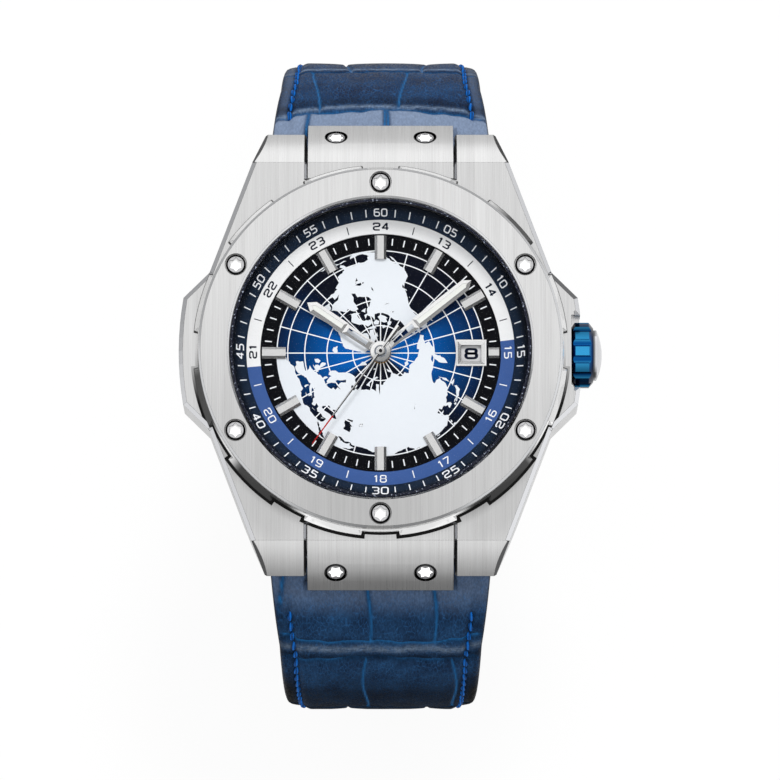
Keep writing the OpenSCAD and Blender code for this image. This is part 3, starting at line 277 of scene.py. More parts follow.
def clearGlass(name, alpha):  # clear faces; the bevelled edge is a nearly opaque painted reflection, dark blue with light glints
    f = Finish(name, {"Specular IOR Level": 0.35})
    wipe = f.noise(0.3)
    nx, ny, nz = f.spot("Normal")
    x, y, z = f.spot()
    bevelR = 16.12
    rim = (abs(nz) > 0.1) * (abs(nz) < 0.97) * f.length(x, y).step(bevelR, bevelR + 0.08)
    glints = f.noise(4.0, 2.0, 0.7).step(0.6, 0.68)
    # painted reflection on the bevel
    f.look(f.mix(rim, tone(12, 16, 26), f.mix(glints, tone(14, 20, 42), tone(190, 200, 220))), 0.02 + wipe * 0.02)
    f.put("Alpha", alpha + (wipe - 0.5) * 0.01 + rim * 0.75)


def stripedNickel(name):  # flat bridges with wide polished waves across x
    f = Finish(name, metal)
    x, y, z = f.spot()
    wave = ((x + y * 0.25 + 40) / 1.9).fract()
    fine = (f.noise((0.6, 14, 14)) - 0.5) * 0.1
    f.look(f.scale(tone(205, 204, 200), 0.86 + wave * 0.16 + fine), 0.2 + wave * 0.12 + fine, wave, 0.02, 0.4)


def grainedNickel(name):  # overlapping pearl rings
    f = Finish(name, metal)
    cells = f.node("ShaderNodeTexVoronoi", inputs={"Vector": f.coords(), "Scale": 900.0})
    ringed = (cells * 9.0).fract()
    f.look(f.scale(tone(196, 195, 190), 0.9 + ringed * 0.12), 0.24 + ringed * 0.1, ringed, 0.006)


crownLook = {"z": headZ - 6.5, "fluteR": 3.05, "ridgeR": 3.6, "capX": 23.45,
             "blueLightShade": [(0.0, tone(4, 28, 66)), (0.45, tone(12, 82, 150)), (1.0, tone(58, 164, 222))]}


def crownFinish(name):  # blue anodised metal with painted shade, deeper in the flutes and on the faces that lean away, and a painted highlight across the middle
    c = crownLook
    f = Finish(name, metal)
    x, y, z = f.spot()
    nx, ny, nz = f.spot("Normal")
    # painted shade: darker in the flutes and on faces that lean away
    bright = f.length(y, z - c["z"]).step(c["fluteR"], c["ridgeR"]) * nz.step(0.1, 0.95)
    grains = f.noise((1.0, 9.0, 9.0), 3.0, 0.6)
    # painted highlight across the middle, fading to the sides
    lit = 1 - abs(y - 0.1).step(0.6, 2.4) * 0.6
    colour = f.scale(f.ramp(bright, c["blueLightShade"]), (0.92 + grains * 0.16) * lit)
    f.look(colour, 0.2 + (grains - 0.5) * 0.12, grains)


def capFinish(name):  # polished dome with its foot painted dark as shade, and a painted dark reflection where it turns edge-on to the dial
    f = Finish(name, metal)
    x, y, z = f.spot()
    nx, ny, nz = f.spot("Normal")
    smear = f.noise(0.8, 3.0, 0.6)
    # painted dark reflection where the dome turns edge-on
    dome = f.mix(abs(nz).step(0.02, 0.17), tone(88, 88, 94), tone(222, 222, 226))
    # painted shade on the foot
    level = (0.97 + smear * 0.06) * (0.3 + x.step(crownLook["capX"], crownLook["capX"] + 0.15) * 0.7)
    f.look(f.scale(dome, level), 0.12 + (smear - 0.5) * 0.06, smear, 0.002)


def starScrewFinish(name, tilt, axis, radius, sink, middle=None):
    # bright star painted white and glowing as painted light, grey head, walls and sharp edges painted dark as shade;
    # depth is how far a point lies below a plane at this radius from the axis
    # middle: how far from x = 0 tilted screws stand, whose star is painted bright on its walls too
    f = Finish(name, {"Emission Strength": 0.4})
    x, y, z = f.spot()
    nx, ny, nz = f.spot("Normal")
    sine, cosine = math.sin(math.radians(tilt)), math.cos(math.radians(tilt))
    out, up = abs(y) - axis[0], z - axis[1]
    depth = radius - (out * sine + up * cosine)
    facing = abs(abs(ny) * sine + nz * cosine) > 0.97
    if middle:
        star = (depth > sink + 0.05) * (f.length(abs(x) - middle, out * cosine - up * sine) < 0.86)
    else:
        star = (depth > sink + 0.3) * facing
    speck = f.noise(6)
    # painted shade: dark lines along sharp edges, and dark walls where the head doesn't face up
    shade = f.scale(tone(206, 206, 208), (0.85 + speck * 0.3) * (1 - f.edges(0.06) * 0.85))
    head = f.mix(facing, tone(48, 48, 50), shade)
    # painted highlight: the star's floor is white
    f.look(f.mix(star, head, f.scale(tone(250, 250, 250), 0.92 + speck * 0.1)), 0.14 + speck * 0.1 + star * 0.2)
    f.put("Metallic", 1 - star * 0.9)
    # painted light: the star glows
    f.put("Emission Color", f.scale(grey(1.0), star))


def litSteel(name, shade):  # painted light and shade: facets that lean to 10 o'clock are white, the others grey; so are flats near the axis
    f = Finish(name, {"Metallic": 0.8})
    x, y, z = f.spot()
    nx, ny, nz = f.spot("Normal")
    lean = ny * 0.86 - nx * 0.5
    near = f.length(x, y) < 1.3
    # painted light and shade by the facets' lean, and by place on flats near the axis
    lit = f.blend(near * (nz > 0.9), (lean + 0.12).step(0.0, 0.2), (y * 0.86 - x * 0.5).step(-0.9, 0.5))
    haze = f.noise(1.5)
    colour = f.scale(f.mix(lit, tone(shade, shade, shade), tone(252, 252, 252)), 0.97 + haze * 0.06)
    f.look(colour, 0.2 + (haze - 0.5) * 0.08)


windowReflectionTones = {-180: 0.82, -136: 0.82, -134: 1.0, -46: 1.0, -44: 0.55, 44: 0.55, 46: 0.62, 134: 0.62, 136: 0.82,
               180: 0.82}


def windowSteel(name):  # slopes of the date frame, each painted with its own reflection
    f = Finish(name, {"Metallic": 0.8})
    nx, ny, nz = f.spot("Normal")
    haze = f.noise(2)
    colour = f.mix(nz > 0.97, f.compass(nx, ny, windowReflectionTones), grey(0.95))
    f.look(f.scale(colour, 0.96 + haze * 0.08), 0.2 + (haze - 0.5) * 0.1)


caseFinish("caseSteel")
caseFinish("plateSteel")
bezelFinish("bezelSteel")
skirtFinish("skirtSteel")
brushedSteel("backSteel", rough=0.26)
brushedSteel("claspSteel", rough=0.28)
polishedSteel("polishedSteel")
crownFinish("blueCrown")
capFinish("capSteel")
grainedNickel("nickel")
stripedNickel("bridges")
grained("brass", (222, 184, 112), 0.24)
grained("springSteel", (150, 156, 165), 0.3)
grained("blueSpring", (38, 62, 150), 0.25)
grained("axisSteel", (44, 44, 48), 0.3)
grained("rubber", (22, 22, 23), 0.6, (8, 2.0), 0.4, 0.2, (0.01, 0.4), {})
grained("ruby", (170, 20, 60), 0.16, (4, 2.0), 0.6, 0.08, (), {"Coat Weight": 0.6})
clearGlass("crystalGlass", 0.02)
clearGlass("backGlass", 0.07)
starScrewFinish("bezelScrew", 0, (0.0, headZ), 0.0, 0.12)
starScrewFinish("lugScrew", 48, (lugY, lugZ), 13.5, 0.1, 4.9)
starScrewFinish("backScrew", 180, (0.0, headZ), 12.5, 0.05)
litSteel("litSteel", 150)
litSteel("needleSteel", 84)
windowSteel("windowSteel")
print("metal, glass and rubber finished")


dialLook = {
    "mapR": 11.45,
    "globeR": 11.76,            # radius of the drawn globe's equator
    "turn": 195.0,              # angle of the zero meridian
    # ocean blues from lit to shaded, for the painted sunray reflection
    "ocean": [(0.0, (0, 92, 176)), (0.3, (0, 86, 166)), (0.43, (0, 76, 148)), (0.6, (0, 54, 108)), (0.8, (2, 26, 60)),
              (1.0, (6, 10, 24))],
    "land": (226, 231, 237), "line": (240, 243, 247), "ink": (16, 24, 42),
    "track": (6, 7, 12), "flangeTop": (8, 14, 24), "flangeLow": (25, 38, 56),
    "ringBlue": (62, 92, 152), "ringWhite": (238, 239, 240),
    "lineW": 0.115, "tickW": 0.13, "minutesR": 15.38, "hoursR": 13.97,
    "trackTicks": (12.0, 12.75), "ringTicks": (13.5, 14.35), "flangeTicks": (14.98, 15.7),   # from and to a radius
    "ringPrint": (13.2, headZ - 4.235, 0.18), "flangePrint": (14.7, headZ - 3.93, 1.1),   # radius, height, steepness
}


def polar(f):  # distance from the hands' axis in mm, angle from 3 o'clock in degrees, and x
    x, y, z = f.spot()
    return f.length(x, y), f.arctan(x, y) * (180 / math.pi), x


def ticks(r, angle, every, offset, width, span=None):  # 1 on radial lines at every so many degrees, between two radii
    near = abs(((angle + (3600.0 - offset)) / every + 0.5).fract() - 0.5)
    lines = (near * r * (every * math.pi / 180)) < width / 2
    return lines * (r > span[0]) * (r < span[1]) if span else lines


def paint(name, rough):
    f = Finish(name, {"Specular IOR Level": 0.07})
    f.put("Roughness", rough + (f.noise(3) - 0.5) * 0.1)
    return f


def plainPaint(name, colour, rough=0.45, spread=0.08):
    f = paint(name, rough)
    f.put("Base Color", f.scale(tone(*colour), 1 + (f.noise(2.5) - 0.5) * spread))


def printed(f, marks, ground, ink, spread):  # marks on a speckled ground
    f.put("Base Color", f.mix(marks, f.scale(ground, 1 + (f.noise(2) - 0.5) * spread), ink))


def oceanLacquer(name):  # painted sunray reflection: bright blue left and right of the middle, fading towards the rim, nearly black above and below; with a grid
    d = dialLook
    f = paint(name, 0.34)
    r, angle, x = polar(f)
    side = ((x * x) / (r * r + 0.01)).step(0.42, 0.92)   # 1 to the left and right, 0 up and down
    ocean = f.ramp(1 - side * (1 - r / d["mapR"] * 0.82), [(place, tone(*c)) for place, c in d["ocean"]])
    grid = ticks(r, angle, 15.0, 0.0, d["lineW"])
    for latitude in (75, 60, 45, 30, 15):
        grid = (abs(r - d["globeR"] * math.cos(math.radians(latitude))) < d["lineW"] / 2) + grid
    f.put("Base Color", f.mix(grid > 0.5, f.scale(ocean, 0.93 + f.noise(0.5) * 0.14), tone(*d["line"])))


def trackEnamel(name):
    d = dialLook
    f = paint(name, 0.3)
    r, angle, x = polar(f)
    printed(f, ticks(r, angle, 6.0, 0.0, d["tickW"], d["trackTicks"]), tone(*d["track"]), tone(*d["line"]), 0.4)


def flangeEnamel(name):  # minute marks, left out where the numerals stand
    d = dialLook
    f = paint(name, 0.36)
    r, angle, x = polar(f)
    marks = ticks(r, angle, 6.0, 0.0, 0.12, d["flangeTicks"]) * (1 - ticks(r, angle, 30.0, 0.0, 1.6))
    printed(f, marks, f.mix(r.step(15.2, 16.1), tone(*d["flangeLow"]), tone(*d["flangeTop"])), tone(*d["line"]), 0.16)


def dayNightPrint(name):
    d = dialLook
    f = paint(name, 0.4)
    r, angle, x = polar(f)
    day = ((angle > 5.5) + (angle < -173.5)) > 0.5
    ground = f.mix(day, tone(*d["ringBlue"]), tone(*d["ringWhite"]))
    ink = f.mix(day, tone(*d["line"]), tone(*d["ink"]))
    printed(f, ticks(r, angle, 30.0, 15.0, 0.11, d["ringTicks"]), ground, ink, 0.08)


oceanLacquer("oceanLacquer")
trackEnamel("trackEnamel")
flangeEnamel("flangeEnamel")
dayNightPrint("dayNightPrint")
plainPaint("landPrint", dialLook["land"], 0.5, 0.05)
plainPaint("whiteInk", (244, 246, 250))
plainPaint("navyInk", dialLook["ink"])
plainPaint("lume", (226, 228, 224), 0.6, 0.06)
plainPaint("redLacquer", (196, 34, 34), 0.3)
plainPaint("datePrint", (222, 222, 224), 0.35)

nodeFinishes = {
    "caseSteel": "mid_case", "plateSteel": "lug_plate_12 lug_plate_6", "bezelSteel": "bezel",
    "skirtSteel": "bezel_skirt", "backSteel": "case_back", "claspSteel": "clasp_cover clasp_inner_blade",
    "polishedSteel": "crown_tube winding_stem rotor_bearing clasp_middle_blade clasp_button_left clasp_button_right"
                     " clasp_bars clasp_fold_pin",
    "blueCrown": "crown", "capSteel": "crown_cap", "nickel": "movement_ring main_plate",
    "bridges": "balance_cock train_bridge barrel_bridge rotor",
    "brass": "barrel centre_wheel third_wheel fourth_wheel balance_wheel hour_wheel minute_wheel",
    "springSteel": "mainspring escape_wheel pallet_fork cannon_pinion", "blueSpring": "hairspring",
    "rubber": "bezel_gasket crystal_gasket back_gasket crown_gasket", "ruby": "jewels",
    "crystalGlass": "crystal", "backGlass": "back_glass",
    "bezelScrew": "bezel_screws", "lugScrew": "lug_screws", "backScrew": "back_screws", "litSteel": "hour_markers",
    "oceanLacquer": "map_disc", "trackEnamel": "dial", "flangeEnamel": "minute_flange",
    "dayNightPrint": "hour24_ring", "datePrint": "date_disc",
}
for finishName, nodeNames in nodeFinishes.items():
    for nodeName in nodeNames.split():
        for s in nodes[nodeName].material_slots:
            s.material = finishes[finishName]


def makePiece(name, points, faces, looks, body="case", smooth=False, kinds=None, sharp=None, values=None):
    # points in mm, faces as index lists; kinds picks a look for each face; values on the points are for the shader
    mesh = bpy.data.meshes.new(name)
    mesh.from_pydata((np.asarray(points, float) * 0.001).tolist(), [], [list(f) for f in faces])
    for look in looks.split():
        mesh.materials.append(finishes[look])
    if kinds is not None:
        mesh.polygons.foreach_set("material_index", np.asarray(kinds, np.int32))
    mesh.polygons.foreach_set("use_smooth", np.full(len(mesh.polygons), smooth))
    for key, array in (values or {}).items():
        mesh.attributes.new(key, "FLOAT", "POINT").data.foreach_set("value", np.asarray(array, np.float32).ravel())
    mesh.update()
    if sharp:
        mesh.set_sharp_from_angle(angle=math.radians(sharp))
    piece = bpy.data.objects.new(name, mesh)
    bpy.context.scene.collection.objects.link(piece)
    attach(piece, body)
    return piece


def gridFaces(rows, columns, closed=False):  # quads of a grid of points; closed joins the last column to the first
    i, j = np.meshgrid(np.arange(rows - 1), np.arange(columns if closed else columns - 1), indexing="ij")
    k = (j + 1) % columns
    low, high = i * columns, (i + 1) * columns
    return np.stack([low + j, low + k, high + k, high + j], -1).reshape(-1, 4).tolist()


def add(points, faces, morePoints, moreFaces):  # appends a shape to the lists of points and faces
    faces += [[len(points) + k for k in face] for face in moreFaces]
    points += np.asarray(morePoints, float).tolist()


# coasts of the northern half as longitude, latitude, longitude, latitude and so on, listed here and roughened below
coasts = [
    (-9, 37, -9.5, 38.8, -8.8, 41, -9.2, 43.2, -5.8, 43.6, -1.8, 43.4, -1.2, 45, -2.2, 47.2, -4.7, 48.3, -1.6, 48.7,
     -1.9, 49.7, 0.2, 49.6, 1.6, 50.9, 4, 51.8, 5, 53.3, 8.3, 53.8, 8.6, 56.8, 10.6, 57.6, 10.5, 56, 9.8, 54.8,
     11, 54, 14, 54, 18.5, 54.7, 21, 55.3, 21.2, 57, 24.3, 57.2, 23.7, 59, 28, 59.7, 30, 60, 25, 60.3, 22.5, 60,
     21.3, 61.5, 21.5, 63, 25.4, 65, 22.3, 65.8, 20.5, 63.8, 17.3, 61.8, 17.2, 60.5, 18.8, 59.5, 16.5, 57.8, 16, 56.3,
     14.3, 55.5, 12.8, 55.6, 11.3, 58.5, 10.6, 59.3, 8, 58.2, 5.6, 58.8, 5, 61, 7, 63, 11, 64.8, 14.5, 67.8, 18, 69.6,
     23, 70.8, 28.5, 71, 31, 70.3, 33, 69.3, 41, 67.7, 40, 66.3, 34.5, 66.7, 34, 65, 37, 64, 40.3, 64.7, 40, 66,
     43.8, 66.1, 44, 68.4, 46.5, 68, 46.5, 66.9, 53, 68.6, 60, 68.7, 60.5, 69.8, 65, 69.2, 68.5, 68.3, 66.8, 70.8,
     68.5, 72.8, 72.5, 72.8, 72.6, 70.5, 73.5, 67.5, 71.5, 66.4, 75, 67.8, 74.5, 70.6, 74, 72.6, 80.5, 72.8, 81, 73.6,
     87, 75, 98, 76.3, 104.3, 77.7, 113, 75.8, 113.5, 73.8, 106, 73.3, 113, 73.6, 119, 73, 126.5, 73.5, 127, 72.5,
     129.5, 71, 133, 71.5, 139.5, 72.3, 141, 72.8, 150, 71.5, 160, 69.7, 161, 69.3, 170, 69, 171, 70, 176, 69.8,
     180, 68.9, 190, 66.1, 187, 64.4, 180, 65, 177.5, 64.8, 179.3, 62.5, 171, 60.2, 164, 59.9, 163, 58, 162.5, 56.2,
     160, 53, 156.8, 51, 155.7, 54, 155.6, 56.8, 159, 59.2, 163, 61.5, 160, 61.8, 157, 61.7, 154.5, 59.5, 149, 59.6,
     142.5, 59.2, 136.5, 57, 135.3, 54.7, 139.5, 54.2, 141.3, 53.2, 140.5, 50, 140, 48, 136, 44.8, 132.5, 43,
     130.5, 42.3, 127.5, 39.7, 129.4, 37.2, 129.2, 35.2, 126.5, 34.4, 126.6, 37, 125, 38, 125.2, 39.6, 121.5, 38.9,
     121.2, 40.9, 118, 39.2, 119, 37.3, 122.5, 37.3, 119.3, 35, 121.8, 31.8, 121.8, 29, 119.6, 25.9, 117, 23.5,
     113.5, 22.2, 110.4, 21.2, 108, 21.5, 105.8, 19, 108.8, 15.5, 108, 12, 101, 12, 99, 14, 97.5, 16.5, 94.5, 16,
     94, 18.5, 92, 21, 91.5, 22.6, 88.5, 21.7, 86.8, 20.5, 82.3, 16.7, 80, 14, 77.5, 9, 74.5, 13, 73.3, 16.5,
     72.7, 20, 72.3, 21.2, 70.5, 20.8, 69, 22.3, 67, 24.5, 62, 25.2, 57.3, 25.7, 56.5, 27, 53, 26.8, 51.5, 28, 50, 30,
     48, 30, 48.5, 28, 50.2, 26.5, 50.8, 25, 51.5, 25.5, 52, 24.2, 54, 24.2, 56.2, 26, 56.8, 24.2, 59.8, 22.5,
     58.5, 20.4, 55.5, 17.5, 52, 15.6, 47, 12, 43, 13, 42.7, 16, 40, 20, 38.8, 22.5, 37, 24.8, 35, 28, 34.3, 28,
     32.6, 29.9, 32.3, 31.2, 34.3, 31.3, 35.2, 33, 36, 35.5, 36, 36.8, 33, 36.1, 30.6, 36.8, 28, 36.7, 26.3, 38.5,
     26.3, 40, 23.5, 40.4, 24, 38, 22.8, 36.5, 21.5, 37, 21, 38.8, 19.5, 40.5, 19.5, 42, 16, 43.5, 14, 45, 13.6, 45.7,
     12.3, 45.2, 12.4, 44, 14, 42.3, 16.1, 41.8, 18.4, 40, 16.8, 40.6, 16.6, 38.7, 15.7, 38, 15.8, 40, 14.2, 40.7,
     12.2, 41.8, 10.3, 43.3, 8.8, 44.4, 7.4, 43.7, 4.8, 43.4, 3.1, 43, 3.2, 42, 0.5, 40.5, -0.3, 39.2, -1.8, 36.9,
     -5.6, 36, -7, 37.2),
    (-17.2, 13, -16.2, 18, -17, 21, -15, 24.5, -13, 27.8, -9.8, 30, -9.5, 32, -6.5, 34.2, -5.8, 35.8, -2, 35.2,
     3, 36.9, 9.8, 37.3, 11, 35.5, 10.2, 34, 15, 32.3, 19, 30.3, 20.1, 32.2, 23, 32.6, 25, 31.6, 29, 30.9, 31.2, 31.5,
     32.4, 31.2, 32.6, 29.9, 33.8, 27.5, 35.6, 24, 37.2, 21, 37.4, 18.8, 39.5, 15.5, 42, 12, 30, 8, 10, 6, -8, 8),
    (-168, 65.6, -162, 66.3, -163, 67.5, -166.5, 68.4, -157, 71.2, -150, 70.5, -141, 69.7, -135, 69, -128, 70.3,
     -123, 69.8, -115, 68.5, -108, 67.8, -102, 67.8, -96, 68.3, -94.5, 71.9, -92, 69.6, -88, 68.8, -86, 67.5,
     -81.5, 69.4, -82, 67, -86.5, 66.5, -88, 64.2, -93, 62, -94.5, 59.5, -93, 57.2, -88, 56.5, -82.3, 55.2, -82, 52.8,
     -79, 51.3, -79.5, 54.5, -76.8, 57, -78.3, 59.5, -77.6, 62.4, -73.5, 62.3, -70, 60.9, -69.5, 58.8, -65, 60.2,
     -62, 57.5, -58, 54.8, -55.8, 52.6, -59.5, 50.2, -66.5, 50.2, -70.5, 47.2, -64.8, 48.9, -64.5, 46.2, -61, 45.6,
     -65.8, 43.6, -67, 45, -70.5, 43.3, -70.2, 41.8, -74, 40.6, -75.8, 37.2, -76, 35, -78, 33.9, -81.3, 31.5,
     -80.1, 26.8, -80.8, 25.2, -82.7, 28, -84, 30.1, -89, 30.3, -91, 29.3, -94, 29.6, -97.2, 27.7, -97.7, 22.5,
     -96, 19.3, -94.5, 18.2, -91, 18.7, -90.3, 21, -87, 21.5, -87.6, 18.5, -88.5, 15.9, -84, 15, -84, 12, -95, 13,
     -96.5, 15.7, -101.5, 17.7, -105.5, 20, -105.5, 22.2, -109.3, 25.8, -112.3, 29, -114.7, 31.6, -112.8, 28,
     -110.5, 24.6, -109.5, 23, -112, 24.8, -115.6, 29.4, -117.2, 32.8, -120.6, 34.5, -122.5, 37.6, -124.3, 40.3,
     -124.2, 43.5, -124, 46.3, -124.7, 48.4, -122.6, 47.5, -123, 49.2, -127.5, 51.5, -130.3, 54.5, -133, 57,
     -137, 58.7, -141, 59.9, -147, 60.9, -151.7, 59.3, -151, 61.1, -154, 58.8, -158.5, 56, -163.5, 54.8, -160, 56.2,
     -157.3, 58.7, -162, 58.7, -165.5, 61.4, -161, 64, -162.5, 64.5),
    (-73, 78.2, -65, 80.5, -60, 82, -45, 82.5, -32, 83.5, -22, 82.3, -12.5, 81.3, -19, 79, -19.5, 76, -22, 73.5,
     -22.5, 70.5, -30, 68.3, -38, 65.8, -41, 63.5, -43.5, 60, -48.5, 61.2, -52, 64.5, -53.5, 67.5, -51, 69.8, -55, 72,
     -58, 75.3, -66, 76, -70, 77.2),
    (-61.5, 66.8, -65, 65.5, -68, 63, -66, 62, -72, 63.5, -78, 64.8, -73, 65.5, -73, 68, -78, 70, -88.5, 71,
     -89, 73.4, -81, 73.7, -76.5, 72.5, -68, 70.3),
    (-89, 76.5, -80, 76.3, -77, 78.2, -75, 79.5, -66, 81.5, -62, 82.5, -70, 83.1, -85, 82.3, -92, 81.2, -86, 79.5,
     -88, 78), (-80, 74.7, -92, 74.8, -96, 76.4, -89, 76, -80, 75.7),
    (-117, 69.9, -105, 68.9, -101.5, 69.8, -105, 72.8, -112, 73, -118, 72.5, -114, 71),
    (-125, 71.9, -119, 71.6, -117, 73, -121.5, 74.4, -124.8, 73.8), (-106, 75, -113, 74.4, -117, 75.5, -110, 76.5),
    (-97, 71.6, -102, 72.5, -100, 74, -93, 74, -92, 72.8), (-90, 79.3, -95, 78.5, -95, 81, -90, 80.8),
    (-81, 64, -87, 63.7, -84, 66), (-53, 46.8, -59.3, 47.7, -57, 51, -55.5, 51.6, -53, 48.3),
    (-22.7, 63.9, -18.5, 63.4, -14, 64.7, -14.8, 66, -18, 66.2, -21, 65.5, -23, 66.4, -24.3, 65.5, -22, 64.5),
    (-5.5, 50.2, 1.3, 51.2, 1.6, 52.7, 0, 53.5, -1.6, 55.5, -2, 57.5, -3.2, 58.6, -5, 58.5, -5.8, 56.5, -3, 54.5,
     -4.5, 53, -5, 52, -3.2, 51.4), (-6.3, 52.2, -9.8, 51.6, -9.8, 54, -7.5, 55.3, -5.8, 54.4),
    (11, 79.3, 16.5, 76.7, 21, 78.4, 27, 80.1, 18, 80.3),
    (52, 71, 57, 70.7, 56, 72.5, 60, 74.5, 68.5, 76.7, 66, 76.9, 57, 75.3, 54, 73),
    (95, 79.3, 102, 78.2, 104, 79.3, 97, 81), (138, 74.5, 143, 73.6, 150, 75, 142, 76),
    (50, 80.2, 58, 80.4, 62, 81.2, 52, 81), (179, 71, 183, 71.1, 181, 71.6),
    (142, 46, 143.5, 49, 144, 50, 143, 53, 142.6, 54.4, 142, 52, 142, 48),
    (140, 41.6, 141.3, 42.4, 143.2, 42, 145.5, 43.3, 143, 44.4, 141.7, 45.4, 141.3, 43.3),
    (141, 41.4, 142, 39.6, 141, 37, 140.3, 35.2, 138.2, 34.6, 135.8, 33.5, 135, 34.6, 131, 34, 132.5, 35.5, 136, 35.8,
     137, 37.4, 139.4, 38.3, 140, 40.3), (130, 33.6, 131.8, 33.3, 131.2, 31.3, 130.2, 31.2, 129.8, 32.8),
    (132.2, 33.6, 134.5, 34.2, 134, 33.3, 132.9, 32.8), (120.2, 23, 121, 25.2, 121.8, 24.8, 120.9, 22),
    (108.7, 19.2, 110.5, 18.7, 111, 20, 109.6, 20), (120.5, 14, 120.5, 18.4, 122.2, 18.4, 121.8, 14),
    (-84.8, 21.9, -80, 23.1, -74.2, 20.2, -77.5, 19.8, -80, 21.7),
    (-74, 18.4, -71.5, 17.8, -68.5, 18.5, -70, 19.8, -73, 19.9), (12.5, 38, 15.5, 38.2, 15.1, 36.8),
    (8.4, 39, 9.7, 39.2, 9.6, 41, 9.4, 42.8, 8.6, 42.3, 8.2, 40.8), (23.6, 35.4, 26.2, 35.2, 24.8, 34.9),
    (32.4, 34.8, 34.4, 35.5, 33.2, 34.5), (-123.5, 48.4, -125.5, 49, -128.2, 50.8, -125.2, 50),
    (-132, 53.2, -133, 54, -131.5, 53.8), (-154, 57.3, -152.3, 57.6, -153, 58.1),
    (-156, 19.1, -155, 19.6, -156, 20.1),
]
seas = [
    (28, 41.5, 31.3, 41.2, 35, 42, 38.3, 41, 41.6, 41.6, 39, 43.9, 37.3, 44.8, 39.2, 47.1, 36, 46.6, 35, 45.3,
     33.4, 44.6, 32.7, 46, 31, 46.6, 29.6, 45.2, 28.6, 43.6, 27.8, 42.6),
    (49.3, 37.4, 53.8, 36.9, 53.9, 39.8, 52.8, 41.6, 54, 42.2, 51.2, 44.4, 53, 45.4, 53, 46.8, 49.5, 46.4, 47.3, 44.5,
     47.6, 43, 49.4, 40.4, 48.9, 38.6), (58.5, 44, 61, 44.2, 61, 46.5, 59, 46.2),
    (104, 51.6, 106.5, 52.4, 109.6, 55.6, 105.5, 51.8), (-92, 46.8, -88, 48.8, -85, 47.5, -86.5, 46.5),
    (-87.5, 41.8, -86.3, 43.5, -85.2, 45.8, -87.6, 44.8), (-97, 51, -98.8, 53.8, -97.2, 53),
    (-123, 66, -119, 65.5, -119, 66.8), (-115, 61.3, -109.5, 62.6, -112, 62.3),
]


def coastLoop(points, rough):
    # a flat map of the globe seen over the pole: distance = globe radius times cosine of latitude
    lon, lat = np.radians(np.reshape(points, (-1, 2))).T
    legs = []
    for i in range(len(lon)):
        j = (i + 1) % len(lon)
        span = math.hypot((lon[j] - lon[i]) * math.cos(lat[i]), lat[j] - lat[i])
        n = max(1, int(span / 0.02))
        t = np.arange(n) / n
        legs.append(np.stack([lon[i] + (lon[j] - lon[i]) * t, lat[i] + (lat[j] - lat[i]) * t], 1))
    lon, lat = np.concatenate(legs).T
    r = dialLook["globeR"] * np.cos(np.maximum(lat, 0))
    a = lon + math.radians(dialLook["turn"])
    xy = np.stack([r * np.cos(a), r * np.sin(a)], 1) + rng.normal(0, rough, (len(r), 2))
    return xy * np.minimum(1, (dialLook["mapR"] - 0.06) / np.hypot(*xy.T))[:, None]


def flatShapes(name, loops, z, look):  # fills each closed outline with triangles, facing up
    points, faces = [], []
    for loop in loops:
        outline = [Vector(p) for p in loop.tolist()]
        corners, _, triangles, *_ = delaunay_2d_cdt(outline, [], [list(range(len(loop)))], 1, 1e-5)
        shape = []
        for face in triangles:
            a, b, c = [corners[k] for k in face]
            shape.append(face if (b.x - a.x) * (c.y - a.y) - (c.x - a.x) * (b.y - a.y) > 0 else face[::-1])
        add(points, faces, [(p.x, p.y, z) for p in corners], shape)
    return makePiece(name, points, faces, look)


flatShapes("map_land", [coastLoop(c, 0.035) for c in coasts], dialZ + 0.02, "landPrint")
flatShapes("map_seas", [coastLoop(c, 0.02) for c in seas], dialZ + 0.03, "oceanLacquer")
print("map drawn")


# wide square numerals: paths in a box one high and one wide, with rounded corners
glyphs = {
    "0": [[(0, 0.5), (0, 1), (1, 1), (1, 0), (0, 0), (0, 0.5)]],
    "1": [[(0.1, 0.8), (0.6, 1.0), (0.6, 0)]],
    "2": [[(0, 0.74), (0, 1), (1, 1), (1, 0.52), (0, 0.48), (0, 0), (1, 0)]],
    "3": [[(0, 1), (1, 1), (1, 0.5), (0.3, 0.5)], [(0.3, 0.5), (1, 0.5), (1, 0), (0, 0)]],
    "4": [[(0.74, 0), (0.74, 1), (0, 0.28), (1, 0.28)]],
    "5": [[(0.95, 1), (0, 1)], [(0.09, 0.95), (0.09, 0.5)], [(0.02, 0.56), (1, 0.56), (1, 0), (0, 0)]],
    "6": [[(0.92, 1), (0, 1), (0, 0), (1, 0), (1, 0.56), (0, 0.56)]],
    "7": [[(0, 1), (1, 1), (0.35, 0)]],
    "8": [[(0.5, 1), (0.96, 1), (0.96, 0.52), (0.04, 0.52), (0.04, 1), (0.5, 1)],
          [(0.5, 0.52), (1, 0.52), (1, 0), (0, 0), (0, 0.52), (0.5, 0.52)]],
    "9": [[(0.08, 0), (1, 0), (1, 1), (0, 1), (0, 0.44), (1, 0.44)]],
}


def roundedPath(corners, width, radius):  # each corner becomes a quadratic curve between its two legs
    c = np.array(corners, float) * [width, 1.0]
    path = [c[0]]
    for before, corner, after in zip(c[:-2], c[1:-1], c[2:]):
        one, two = before - corner, after - corner
        sharp = np.dot(one, two) / (np.linalg.norm(one) * np.linalg.norm(two) + 1e-9)
        reach = min(radius, np.linalg.norm(one) * 0.5, np.linalg.norm(two) * 0.5) * (0.25 if abs(sharp) > 0.3 else 1)
        one, two = corner + one / np.linalg.norm(one) * reach, corner + two / np.linalg.norm(two) * reach
        for t in np.linspace(0, 1, 6):
            path.append(one * (1 - t) ** 2 + corner * 2 * t * (1 - t) + two * t * t)
    return np.array(path + [c[-1]])


